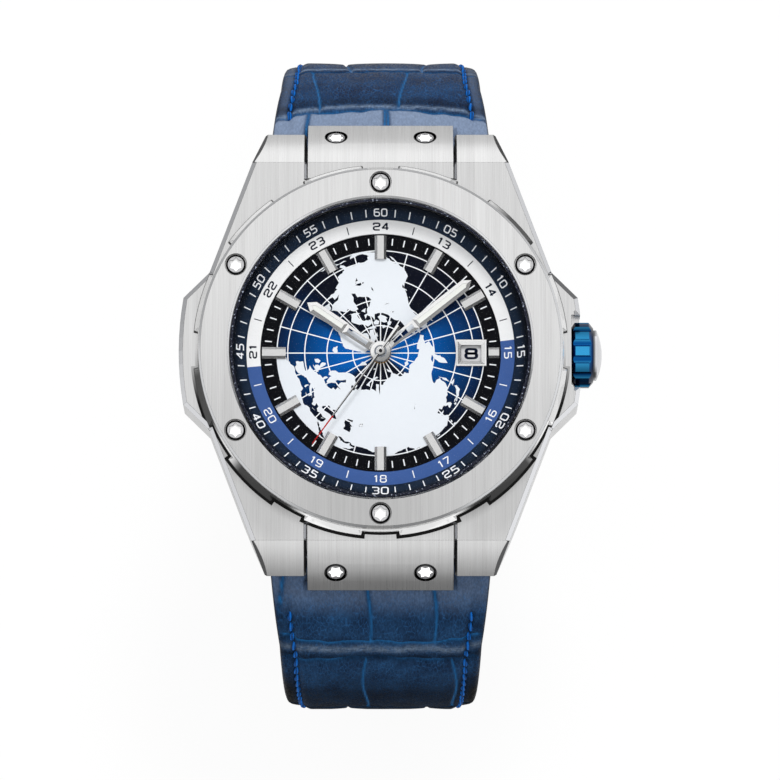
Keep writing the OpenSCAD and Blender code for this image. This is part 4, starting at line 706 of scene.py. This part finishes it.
def wordShape(word, height, width=0.72, stroke=0.17, gap=0.32):
    # strips along the paths of each glyph, round the word's middle; all but the height are shares of it
    points, faces, at = [], [], 0.0
    for letter in word:
        size = width * (0.6 if letter == "1" else 1.0)
        for corners in glyphs[letter]:
            path = roundedPath(corners, size, 0.26)
            along = np.gradient(path, axis=0)
            along /= np.linalg.norm(along, axis=1)[:, None] + 1e-9
            side = np.stack([-along[:, 1], along[:, 0]], 1) * stroke / 2
            n = len(path)
            strip = np.concatenate([path + side, path - side]) * [1, 1 - stroke] + [at, stroke / 2]
            add(points, faces, strip, [[n + k, n + k + 1, k + 1, k] for k in range(n - 1)])
        at += size + gap
    points = np.array(points)
    return (points - (points.min(0) + points.max(0)) / 2) * height, faces


def printWords(name, words, radius, height, slope, look, stroke, rise=0.0):
    # words stand on a circle on a sloped ring; the top points outward, or inward where flip is set
    inner, low, steep = slope
    points, faces = [], []
    for word, angle, flip in words:
        a = math.radians(angle)
        flat, shape = wordShape(word, height - rise * math.sin(a), stroke=stroke)
        out = np.array([math.cos(a), math.sin(a)])
        up = -out if flip else out
        right = np.array([up[1], -up[0]])
        xy = out * radius + flat[:, :1] * right + flat[:, 1:] * up
        add(points, faces, np.column_stack([xy, low + (np.hypot(*xy.T) - inner) * steep]), shape)
    makePiece(name, points, faces, look)


minuteWords = [(f"{(m or 60):02d}", 90 - 6 * m, 17 < m < 43) for m in range(0, 60, 5)]
hourWords = [(str(h), 90 - 30 * (h - 12), 15 < h < 21) for h in range(13, 25)]
dayWords = [w for w in hourWords if 5.5 < w[1] % 360 < 186.5]
nightWords = [w for w in hourWords if w not in dayWords]
d = dialLook
printWords("flange_numerals", minuteWords, d["minutesR"], 0.88, d["flangePrint"], "whiteInk", 0.17, 0.1)
printWords("day_numerals", dayWords, d["hoursR"], 0.92, d["ringPrint"], "navyInk", 0.21)
printWords("night_numerals", nightWords, d["hoursR"], 0.88, d["ringPrint"], "whiteInk", 0.16)


def lathe(profile, steps):  # profile of radius and height turned round the hands' axis
    a = np.linspace(0, 2 * np.pi, steps, endpoint=False)
    p = np.asarray(profile, float)
    ring = np.stack([p[:, :1] * np.cos(a), p[:, :1] * np.sin(a), np.repeat(p[:, 1:], steps, 1)], -1)
    return ring.reshape(-1, 3), gridFaces(len(p), steps, True)


dateLook = {"x": 9.95, "l": 2.2, "w": 1.78, "rim": 0.58, "edge": 0.17, "h": 0.3, "printZ": headZ - 5.09,
            "one": (1.36, 0.86, 0.27), "two": (1.36, 0.6, 0.21, 0.27)}   # height, width, stroke and gap by figures


def dateFrame():  # rings of four corners, joined to a loop: foot, outer top edge, inner top edge, foot of the slope
    d = dateLook
    rim, top, points = d["rim"], d["h"], []
    for grow, z in ((rim, 0.0), (rim, top - 0.04), (rim - 0.04, top), (rim - d["edge"], top), (0.0, 0.04), (0.0, 0.0)):
        a, b = d["l"] / 2 + grow, d["w"] / 2 + grow
        points += [[d["x"] + sx * a, sy * b, dialZ + z] for sx, sy in ((-1, -1), (1, -1), (1, 1), (-1, 1))]
    faces = np.array(gridFaces(7, 4, True)) % len(points)
    piece = makePiece("date_window_frame", points, faces.tolist(), "windowSteel")
    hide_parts("date_frame")


def dateNumerals(shown=8):  # 1 to 31 round the disc, upright in the window; the next day stands towards 12 o'clock
    points, faces = [], []
    for day in range(1, 32):
        flat, shape = wordShape(str(day), *dateLook["one" if day < 10 else "two"])
        a = 2 * math.pi * (day - shown) / 31
        out, up = np.array([math.cos(a), math.sin(a)]), np.array([-math.sin(a), math.cos(a)])
        xy = (flat[:, :1] + dateLook["x"]) * out + flat[:, 1:] * up
        add(points, faces, np.column_stack([xy, np.full(len(xy), dateLook["printZ"])]), shape)
    makePiece("date_numerals", points, faces, "navyInk", "date")


dateFrame()
dateNumerals()


handLook = {
    "hour": {"l": 9.75, "w": 1.3, "step": 4.7, "drop": 3.95, "angle": 145.7, "hole": 0.95, "body": "hours"},
    "minute": {"l": 12.7, "w": 1.3, "step": 4.9, "drop": 3.35, "angle": 38.4, "hole": 0.65, "body": "minutes"},
    "seconds": {"l": 12.7, "tail": 3.4, "drop": 2.85, "angle": 234.0, "red": 8.9},
    "hubR": 1.15, "thick": 0.2, "lip": 0.05,
}


def turned(points, angle):  # round the hands' axis, by degrees from 3 o'clock
    a = math.radians(angle)
    x, y, z = np.asarray(points, float).T
    return np.column_stack([x * math.cos(a) - y * math.sin(a), x * math.sin(a) + y * math.cos(a), z])


def mirrored(half):  # an outline from the half on one side of the hand's middle
    return [(x, -y) for x, y in half] + half[::-1]


def makeHand(kind, node):
    # each half is a ring of facets that climbs from its outline to an inner outline: round the slot, round the lume
    h = handLook[kind]
    l, w, step, foot = h["l"], h["w"], h["step"], headZ - h["drop"]
    low, high = foot + handLook["lip"], foot + handLook["thick"]
    points, faces = [], []

    def band(loops):  # facets between outlines, each at its height
        add(points, faces, [(x, y, z) for xy, z in loops for x, y in xy], gridFaces(len(loops), len(loops[0][0]), True))

    wide = mirrored([(step, w / 2), (l - 0.85, w / 2)])
    lume = mirrored([(step + 0.32, 0.27), (l - 1.0, 0.27)])
    wide.insert(2, (l, 0.0))
    lume.insert(2, (l - 0.62, 0.0))
    band([(wide, foot), (wide, low), (lume, high), ([(x * 0.998, y * 0.96) for x, y in lume], high - 0.04)])
    lumeFace = len(faces)
    faces += [[15, 16, 17, 18, 19], [4, 3, 2, 1, 0]]
    neck = mirrored([(0.8, 0.38 * w), (step - 0.25, 0.44 * w), (step + 0.06, 0.48 * w)])
    slot = mirrored([(1.75, 0.2 * w), (step - 0.5, 0.2 * w), (step - 0.35, 0.2 * w)])
    band([(neck, foot), (neck, low), (slot, high - 0.02), (slot, foot), (neck, foot)])
    hole, hub = h["hole"], handLook["hubR"]
    add(points, faces, *lathe([(hole, foot), (hub, foot), (hub, high - 0.06), (hub - 0.06, high), (hole + 0.04, high),
                               (hole, high - 0.04), (hole, foot)], 64))
    kinds = [int(k == lumeFace) for k in range(len(faces))]
    points = turned(points, h["angle"])
    piece = makePiece(kind + "_hand_faceted", points, faces, "litSteel lume", h["body"], kinds=kinds)
    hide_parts(node)


def makeSecondsHand():  # a needle with a ridge, its outer part red, on a domed boss
    h = handLook["seconds"]
    foot, tail, red = headZ - h["drop"], h["tail"], h["red"]
    stations = [(-tail, 0.26), (0.05 - tail, 0.28), (-0.3, 0.15), (0.3, 0.14), (red, 0.085), (red, 0.085),
                (h["l"], 0.05)]   # place along the hand and half width
    section = [(-1, 0.0), (-1, 0.05), (0, 0.14), (1, 0.05), (1, 0.0)]   # share of the half width, height
    points = [[x, side * half, foot + up] for x, half in stations for side, up in section]
    faces = gridFaces(7, 5, True)
    kinds = [int(q[0] // 5 >= 5) for q in faces] + [0, 1]
    faces += [[4, 3, 2, 1, 0], [30, 31, 32, 33, 34]]
    dome = [(0.0001, 0.0), (0.5, 0.0), (0.5, 0.1), (0.44, 0.15), (0.34, 0.17), (0.32, 0.15), (0.2, 0.15), (0.18, 0.142),
            (0.0001, 0.142)]
    boss, bossFaces = lathe([(r, foot + up) for r, up in dome], 48)
    add(points, faces, boss, bossFaces)
    kinds += [0 if q[0] // 48 < 6 else 2 for q in bossFaces]
    looks = "needleSteel redLacquer axisSteel"
    piece = makePiece("seconds_needle", turned(points, h["angle"]), faces, looks, "seconds", kinds=kinds)
    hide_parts("seconds_hand")


makeHand("hour", "hour_hand")
makeHand("minute", "minute_hand")
makeSecondsHand()
print("dial and hands made")


strapLook = {
    # arcs of the outer and inner curve: middles, radii, and the angles at the horns and at the clasp
    "upperY": 8.1, "upperR": 28.4, "lowerY": 12.8, "lowerR": 23.7, "midZ": headZ - 30.5,
    "innerY": 10.5, "innerR": 23.8, "lowerInnerR": 21.5,
    "start": 57.0, "innerStart": 64.5, "end": 80.0, "innerEnd": 79.0,
    "widths": [(0.0, 9.0), (headZ - 30.5, 10.65), (headZ - 15.5, 11.2), (headZ - 6.7, 12.2)],   # height and half width
    "rows": 340, "columns": 118, "edge": 0.55, "seam": 1.75, "seamDepth": 0.12, "seamW": 0.22,
    "grooveDepth": 0.26, "grooveW": 0.17, "padH": 0.45, "padFrom": 1.4, "padOver": 1.3, "scaleH": 0.2, "ripple": 0.045,
    "lugHalf": 8.3, "plateR": 12.0, "plateEnd": 61.0, "tongueR": 10.4, "tongueEnd": 63.2, "tongueZ": headZ - 10.9,
    "leather": {1: (18, 54, 92), -1: (30, 64, 100)}, "deep": {1: (4, 26, 56), -1: (16, 36, 62)},
    # the fold tone is a painted highlight on fold crests
    "foldHighlight": {1: (104, 122, 146), -1: (90, 106, 126)}, "shine": {1: 0.1, -1: 0.035},
    # the sheen tone is painted sheen on the first row and the upper strap's rims
    "groove": (34, 100, 156), "sheenTone": (118, 134, 160), "vein": (44, 96, 150), "paint": (8, 18, 34),
}
# crossing grooves as place along the strap and bow, then the long grooves of each row as places across
scales = {
    1: {"cross": [(6.0, 0.011), (16.3, 0.004), (28.0, 0.003), (40.0, 0.0), (50.0, 0.0)],
        "long": [[-8.0, 0.2, 0.55], [-7.1, 2.3], [-3.4, 4.6], [-4.0, 3.2], [-2.5, 4.4], [-3.4, 2.2]]},
    -1: {"cross": [(10.4, 0.006), (13.0, -0.004), (28.2, 0.004), (39.0, 0.0), (49.0, 0.0)],
         "long": [[-11.1, -1.35, 5.8], [], [-1.5, 7.7], [-3.6, 4.2], [-2.6, 3.6], [-3.4, 4.2]]},
}


def strapHalfWidth(z):  # straight between the widths of the list
    return np.interp(z, *zip(*strapLook["widths"]))


def strapCurves(along):
    # outer and inner points in the side plane at a distance along the outer curve, each on two arcs that meet at the
    # widest place, and the direction from inner to outer
    s = strapLook

    def arc(middleY, radius, angle):
        return np.stack([middleY + radius * np.cos(angle), s["midZ"] + radius * np.sin(angle)], 1)

    first = s["upperR"] * math.radians(s["start"])
    top = np.radians(s["start"]) - np.minimum(along, first) / s["upperR"]
    low = -np.maximum(along - first, 0) / s["lowerR"]
    upper = (along <= first)[:, None]
    outer = np.where(upper, arc(s["upperY"], s["upperR"], top), arc(s["lowerY"], s["lowerR"], low))
    inner = np.where(upper, arc(s["innerY"], s["innerR"], top * s["innerStart"] / s["start"]),
                     arc(s["lowerY"], s["lowerInnerR"], low * s["innerEnd"] / s["end"]))
    lift = outer - inner
    return outer, inner, lift / np.hypot(*lift.T)[:, None]


def strapLength():  # both arcs of the outer curve
    s = strapLook
    return s["upperR"] * math.radians(s["start"]) + s["lowerR"] * math.radians(s["end"])


def keepOffLugs(points, x, outside):
    # under a lug plate the leather stays below the plate, and above the seat of the tongue
    s = strapLook
    rel = points - [lugY, lugZ]
    r = np.hypot(*rel.T)
    angle = np.degrees(np.arctan2(rel[:, 0], rel[:, 1]))
    between = np.abs(x) < s["lugHalf"]
    if outside:
        want = np.where(between & (angle < s["plateEnd"]), np.minimum(r, s["plateR"]), r)
    else:
        over = between & (angle < s["tongueEnd"]) & (points[:, 1] > s["tongueZ"])
        want = np.where(over, np.maximum(r, s["tongueR"]), r)
    return points + rel * ((want - r) / r)[:, None]


def smooth(t):  # 0 to 1 with level ends
    t = np.clip(t, 0, 1)
    return t * t * (3 - 2 * t)


def bell(distance, width):  # 1 at the middle, and e to the minus square of distance over width beside it
    return np.exp(-(distance / width) ** 2)


def scalePattern(side, along, x):
    # distance to the nearest groove, with wavy grooves; rows are the bands between the crossing grooves
    plan = scales[side]
    wave = 0.2 * np.sin(x * 0.55 + side) + 0.1 * np.sin(x * 1.7 + 2 * side)
    place, bow = np.array(plan["cross"]).T
    cross = place + wave[..., None] - bow * (x ** 2)[..., None]
    nearCross = np.abs(along[..., None] - cross).min(-1)
    row = (along[..., None] > cross).sum(-1)
    nearLong = np.full(along.shape, 9.0)
    for k, places in enumerate(plan["long"]):
        for place in places:
            line = place + 0.35 * np.sin(along * 0.35 + place) + 0.03 * (along - 6) * (1 if place > 0 else -0.4)
            nearLong = np.where(row == k, np.minimum(nearLong, np.abs(x - line)), nearLong)
    return nearCross, nearLong, row


def strapSurface(side, along, edge, x):
    # height over the outer curve: rounded edge, sunk seam, raised pad, grooves and swollen scales
    s = strapLook
    t = 1 - np.clip(edge / s["edge"], 0, 1)
    h = -1.0 * (1 - np.sqrt(np.maximum(1 - t ** 2, 0)))
    h -= s["padH"] * (1 - smooth((edge - s["padFrom"]) / s["padOver"]))
    h -= s["seamDepth"] * bell(edge - s["seam"], s["seamW"])
    nearCross, nearLong, row = scalePattern(side, along, x)
    near = np.minimum(nearCross * 0.8, nearLong)
    inside = smooth((edge - 0.3) / 1.0)
    h -= s["grooveDepth"] * bell(near, s["grooveW"]) * inside
    h += s["scaleH"] * (1 - np.exp(-near / 1.5)) * inside - 0.06
    ripple = np.exp(-nearCross / 0.9) * np.sin(x * 3.1 + 1.3 * np.sin(x * 0.7)) * s["ripple"]
    return h + ripple * inside, near, row


# lines across the leather: place along the strap, bow, wave, width and strength; fold lines are a painted highlight on
# their crests and dark lines a painted shadow beside the folds; then where the seam's painted shade starts, and from
# where and over how far the bend turns dark with painted shade
wear = {
    1: {"fold": [(6.6, 0.011, 0, 0.3, 1), (17.3, 0.004, 0, 0.3, 1)], "worn": [(6.2, 0.011, 0, 0.6, 0.45)],
        "dark": [(7.6, 0.011, 0, 0.8, 0.42)], "seamFrom": 5.2, "bendFrom": 17.0, "bendOver": 8.0},
    -1: {"fold": [(11.3, 0, 0.12, 0.5, 1)], "worn": [(12.9, -0.004, 0, 0.45, 0.9)],
         "dark": [(12.7, 0, 0, 0.6, 0.55), (9.9, 0, 0, 0.3, 0.2)], "seamFrom": 6.2, "bendFrom": 14.5, "bendOver": 7.5},
}


def strapWear(side, along, x, edge, near, row):
    # shares that the leather's colour follows: grooves, painted highlight on folds, painted sheen on the first row and
    # upper rims, and painted shade at the edges, towards seam and bend and beside folds
    w = wear[side]

    def across(lines):  # the bells of all lines, added up
        return sum(share * bell(along - place + bow * x ** 2 - wave * np.sin(x), width)
                   for place, bow, wave, width, share in lines)

    groove = bell(near, 0.11) * smooth((edge - 0.4) / 0.5) * (1 - across(w["worn"]))
    # painted sheen on the first row, and along the upper strap's rims
    first = (row == 0) * smooth(near / 0.5)
    if side > 0:
        first += (row > 0) * 0.3 * smooth((edge - 0.35) / 0.3) * (1 - smooth((edge - 1.1) / 0.4))
    else:
        first *= 0.38 * smooth((6.9 - along) / 4.5)
    # painted shade towards the bend, at the edges and along the seam
    bend = smooth((along - w["bendFrom"]) / w["bendOver"])
    shade = 1 - 0.7 * bend - 0.3 * (1 - smooth((edge - 0.4) / 1.5)) * (along > 6.5)
    shade *= 1 - 0.55 * bell(edge - strapLook["seam"], 0.3) * (along > w["seamFrom"])
    return {"groove": groove, "fold": across(w["fold"]), "firstRow": first, "cell": np.exp(-near / 1.1),
            "edgePaint": 1 - smooth((edge - 0.05) / 0.25), "shade": shade * (1 - across(w["dark"]))}


def makeStrap(side, node, title):
    # a sheet over the outer curve, a sheet on the inner curve and a wall between their rims
    s = strapLook
    length, rows = strapLength(), s["rows"]
    along = np.linspace(0, length, rows)
    outer, inner, lift = strapCurves(along)
    edges = np.array([0.0, 0.04, 0.14, 0.3, 0.55, 0.85])
    middle = np.linspace(-1, 1, s["columns"])
    halfTop, halfIn = strapHalfWidth(outer[:, 1])[:, None], strapHalfWidth(inner[:, 1])[:, None]
    x = np.concatenate([edges - halfTop, (halfTop - 1.2) * middle, halfTop - edges[::-1]], 1)
    m = x.shape[1]
    grid = np.repeat(along[:, None], m, 1)
    edge = halfTop - np.abs(x)
    h, near, row = strapSurface(side, grid, edge, x)
    ends = smooth(grid / 0.6) * smooth((length - grid) / 1.5)
    top = outer[:, None] + lift[:, None] * (h - 0.5 * (1 - ends))[..., None]
    xIn = x * (halfIn / halfTop)
    top = keepOffLugs(top.reshape(-1, 2), x.ravel(), True)
    under = keepOffLugs(np.repeat(inner, m, 0), xIn.ravel(), False)
    points = np.concatenate([np.column_stack([x.ravel(), top]), np.column_stack([xIn.ravel(), under])])
    points[:, 1] *= side
    n = rows * m
    sheet = np.array(gridFaces(rows, m))
    rim = np.concatenate([np.arange(m), np.arange(1, rows) * m + m - 1, (rows - 1) * m + np.arange(m - 2, -1, -1),
                          np.arange(rows - 2, 0, -1) * m])
    ahead = np.roll(rim, -1)
    faces = np.concatenate([sheet[:, ::-1], sheet + n, np.stack([rim, ahead, ahead + n, rim + n], 1)])[:, ::side]
    values = strapWear(side, grid, x, edge, near, row)
    for key, array in values.items():   # the inner sheet has edge paint, a shade of 1 that paints no shade, and none of the rest
        values[key] = np.concatenate([array.ravel(), np.full(n, float(key in ("edgePaint", "shade")))])
    look = "leatherUpper" if side > 0 else "leatherLower"
    piece = makePiece(title, points, faces.tolist(), look, smooth=True, values=values)
    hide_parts(node)


def leather(name, side):
    s = strapLook
    f = Finish(name, {"Specular IOR Level": s["shine"][side]})
    groove, fold, first = f.attribute("groove"), f.attribute("fold"), f.attribute("firstRow")
    cell, rim, shade = f.attribute("cell"), f.attribute("edgePaint"), f.attribute("shade")
    broad = f.noise(0.35, 3.0)
    fine = f.noise((4.4, 2.0, 2.0), 4.0, 0.7).step(0.34, 0.66)
    patch = f.noise((0.8, 0.5, 0.5)).step(0.35, 0.6)
    crumple = f.noise((0.9, 4.0, 4.0), 3.0, 0.7).step(0.36, 0.56)
    cells = f.node("ShaderNodeMapping", inputs={"Vector": f.coords(), "Scale": (1000, 400, 400)})
    crease = f.node("ShaderNodeTexVoronoi", {"feature": "DISTANCE_TO_EDGE"}, {"Vector": cells, "Scale": 3.0})
    lines = 1 - crease.step(0.0, 0.09)
    body = f.mix(broad.step(0.15, 0.9), tone(*s["deep"][side]), tone(*s["leather"][side]))
    # painted sheen
    body = f.mix(first * 0.92, body, tone(*s["sheenTone"]))
    body = f.mix(lines * (1 - first) * (0.08 + patch * 0.3), body, tone(*s["vein"]))
    # painted highlight on fold crests
    body = f.mix(fold * (0.25 + crumple * 0.65), body, tone(*s["foldHighlight"][side]))
    # painted shade
    body = f.scale(body, shade * (1 + (fine - 0.5) * (0.3 - first * 0.25)))
    body = f.mix(groove, body, tone(*s["groove"]))
    body = f.mix(rim, f.scale(body, 0.9 + fine * 0.2), tone(*s["paint"]))
    f.look(body, 0.4 + (fine - 0.5) * 0.25 + cell * 0.08, fine * 0.6 + lines * 0.4, 0.06, 0.7)


def makeLining(side, node, title):
    # a plain band under the pad, whose section is a flat superellipse: powers of sine and cosine that keep their signs
    rows, columns = 90, 40
    outer, inner, lift = strapCurves(np.linspace(4.0, strapLength(), rows))
    half = strapHalfWidth(inner[:, 1]) - 0.05
    a = np.linspace(0, 2 * np.pi, columns, endpoint=False)
    across = np.sign(np.cos(a)) * np.abs(np.cos(a)) ** 0.25
    depth = -0.4 + 0.39 * np.sign(np.sin(a)) * np.abs(np.sin(a)) ** 0.4
    yz = inner[:, None] + lift[:, None] * depth[None, :, None]
    points = np.concatenate([(half[:, None] * across)[..., None], yz], -1).reshape(-1, 3)
    points[:, 1] *= side
    ring = np.arange(columns)
    faces = gridFaces(rows, columns, True) + [ring[::-1].tolist(), (ring + (rows - 1) * columns).tolist()]
    piece = makePiece(title, points, [q[::-side] for q in faces], "liningLeather", smooth=True, sharp=50)
    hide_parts(node)


stitchLook = {"every": 1.55, "l": 1.36, "r": 0.25, "over": 0.14, "slant": 0.13, "from": {1: 5.4, -1: 6.6},
              "thread": (4, 88, 168)}


def threadFinish(name):
    f = Finish(name, {"Specular IOR Level": 0.12})
    twist = f.node("ShaderNodeTexWave", inputs={"Vector": f.coords(), "Scale": 900.0, "Distortion": 3.0})
    colour = f.scale(tone(*stitchLook["thread"]), 0.3 + twist * 0.9)
    f.look(colour, 0.55 + (twist - 0.5) * 0.2, twist, 0.03, 0.6)


def makeStitches(side, title):
    # capsules along both seams: circle sections whose radius follows the square root of 1 - t squared
    s, seam = stitchLook, strapLook["seam"]
    t = np.array([-1, -0.93, -0.75, -0.4, 0, 0.4, 0.75, 0.93, 1.0])
    thick = s["r"] * (0.12 + 0.88 * np.sqrt(np.maximum(1 - t ** 2, 0)) ** 0.7)
    a = np.linspace(0, 2 * np.pi, 8, endpoint=False)
    points, faces = [], []
    quads = gridFaces(9, 8, True) + [list(range(7, -1, -1)), [64 + k for k in range(8)]]
    for sign in (-1, 1):
        for place in np.arange(s["from"][side], strapLength() - 4, s["every"]):
            where = place + t * s["l"] / 2
            outer, inner, lift = strapCurves(where)
            x = sign * (strapHalfWidth(outer[:, 1]) - seam) + sign * s["slant"] * t + rng.normal(0, 0.03)
            h = strapSurface(side, where, np.full(9, seam), x)[0] + s["over"] - 0.16 * np.abs(t) ** 3
            ringX = x[:, None] + thick[:, None] * np.cos(a)
            yz = outer[:, None] + lift[:, None] * (h[:, None] + thick[:, None] * np.sin(a))[..., None]
            add(points, faces, np.concatenate([ringX[..., None], yz], -1).reshape(-1, 3), quads)
    points = np.array(points)
    points[:, 1] *= side
    makePiece(title, points, [q[::side] for q in faces], "thread", smooth=True)


leather("leatherUpper", 1)
leather("leatherLower", -1)
grained("liningLeather", (34, 48, 74), 0.62, spread=0.3, roughSpread=0.2, relief=(0.03, 0.5), sockets={})
threadFinish("thread")
makeStrap(1, "strap_12", "strap_upper_pad")
makeStrap(-1, "strap_6", "strap_lower_pad")
makeLining(1, "strap_lining_12", "strap_upper_lining")
makeLining(-1, "strap_lining_6", "strap_lower_lining")
makeStitches(1, "stitches_upper")
makeStitches(-1, "stitches_lower")
print("straps made")


studio = {
    "aim": (1.035, -4.74, 55.1), "distance": 800.0, "elevation": 82.0, "width": 85.0,
    "zenith": 0.93, "soft": 0.9, "key": 5.0,
    # greys by degree: soft panels and black flags, seen by reflections only, on the horizon and on the floor
    "horizon": {-180: 0.8, -150: 0.9, -128: 0.85, -112: 0.5, -96: 0.36, -66: 0.36, -54: 0.85, -28: 0.85, 0: 0.9,
                26: 0.8, 38: 0.1, 60: 0.1, 70: 0.9, 90: 0.98, 112: 0.93, 126: 0.5, 140: 0.35, 150: 0.1, 160: 0.1,
                168: 0.8, 180: 0.8},
    "ground": {-180: 0.75, -125: 0.75, -108: 0.2, -90: 0.14, -72: 0.2, -55: 0.75, -26: 0.85, 26: 0.85, 60: 0.5,
               90: 0.6, 120: 0.5, 155: 0.5, 180: 0.6},
}


def ray(f, kind):  # 1 for rays of a kind
    return f.node("ShaderNodeLightPath", output=kind)


def makeSky():
    world = bpy.context.scene.world = bpy.data.worlds.new("studio")
    world.use_nodes = True
    f = Finish("studio", tree=world.node_tree)
    x, y, z = f.spot("Generated")
    mirror = f.mix(z.step(0.05, 0.75), f.scale(f.compass(x, y, studio["horizon"]), 1.15), grey(studio["zenith"]))
    seen = f.mix(ray(f, "Is Glossy Ray"), grey(studio["soft"]), mirror)
    f.feed(f.tree.nodes["Background"].inputs["Color"], f.mix(ray(f, "Is Camera Ray"), seen, grey(1.0)))


def makeFloor():
    f = Finish("floorPaper")
    f.look(f.scale(tone(246, 246, 246), 0.99 + f.noise(0.05) * 0.01), 0.9)
    x, y, z = f.spot()
    glow = f.node("ShaderNodeEmission", inputs={"Color": grey(1.0), "Strength": 1.0})
    mirrored = f.node("ShaderNodeEmission", inputs={"Color": f.compass(x, y, studio["ground"]), "Strength": 1.0})
    plain = f.node("ShaderNodeMixShader", inputs=[ray(f, "Is Camera Ray") * 0.92, Field(f, f.skin.outputs[0]), glow])
    mixed = f.node("ShaderNodeMixShader", inputs=[ray(f, "Is Glossy Ray"), plain, mirrored])
    f.feed(f.tree.nodes["Material Output"].inputs["Surface"], mixed)
    mesh = bpy.data.meshes.new("floor")
    mesh.from_pydata([(-2, -2, 0), (2, -2, 0), (2, 2, 0), (-2, 2, 0)], [], [(0, 1, 2, 3)])
    mesh.materials.append(f.material)
    plane = bpy.data.objects.new("floor", mesh)
    bpy.context.scene.collection.objects.link(plane)


def aimed(name, data, place, towards):  # a lamp or camera at a place, looking along a direction
    made = bpy.data.objects.new(name, data)
    made.location = place
    made.rotation_euler = towards.to_track_quat("-Z", "Y").to_euler()
    bpy.context.scene.collection.objects.link(made)
    return made


def makeLightAndCamera():
    lamp = bpy.data.lights.new("key", "AREA")
    lamp.shape, lamp.size, lamp.energy = "DISK", 0.25, studio["key"]
    place = Vector((0.12, 0.55, 0.9))
    aimed("key", lamp, place, Vector((0, 0, 0.05)) - place).visible_glossy = False
    e = math.radians(studio["elevation"])
    back = Vector((0, -math.cos(e), math.sin(e)))
    camera = bpy.data.cameras.new("camera")
    camera.sensor_width, camera.lens = 36.0, 36.0 * studio["distance"] / studio["width"]
    camera.clip_start, camera.clip_end = 0.05, 20.0
    eye = (Vector(studio["aim"]) + back * studio["distance"]) * 0.001
    bpy.context.scene.camera = aimed("camera", camera, eye, -back)


bpy.context.scene.view_settings.view_transform = "Standard"
makeSky()
makeFloor()
makeLightAndCamera()
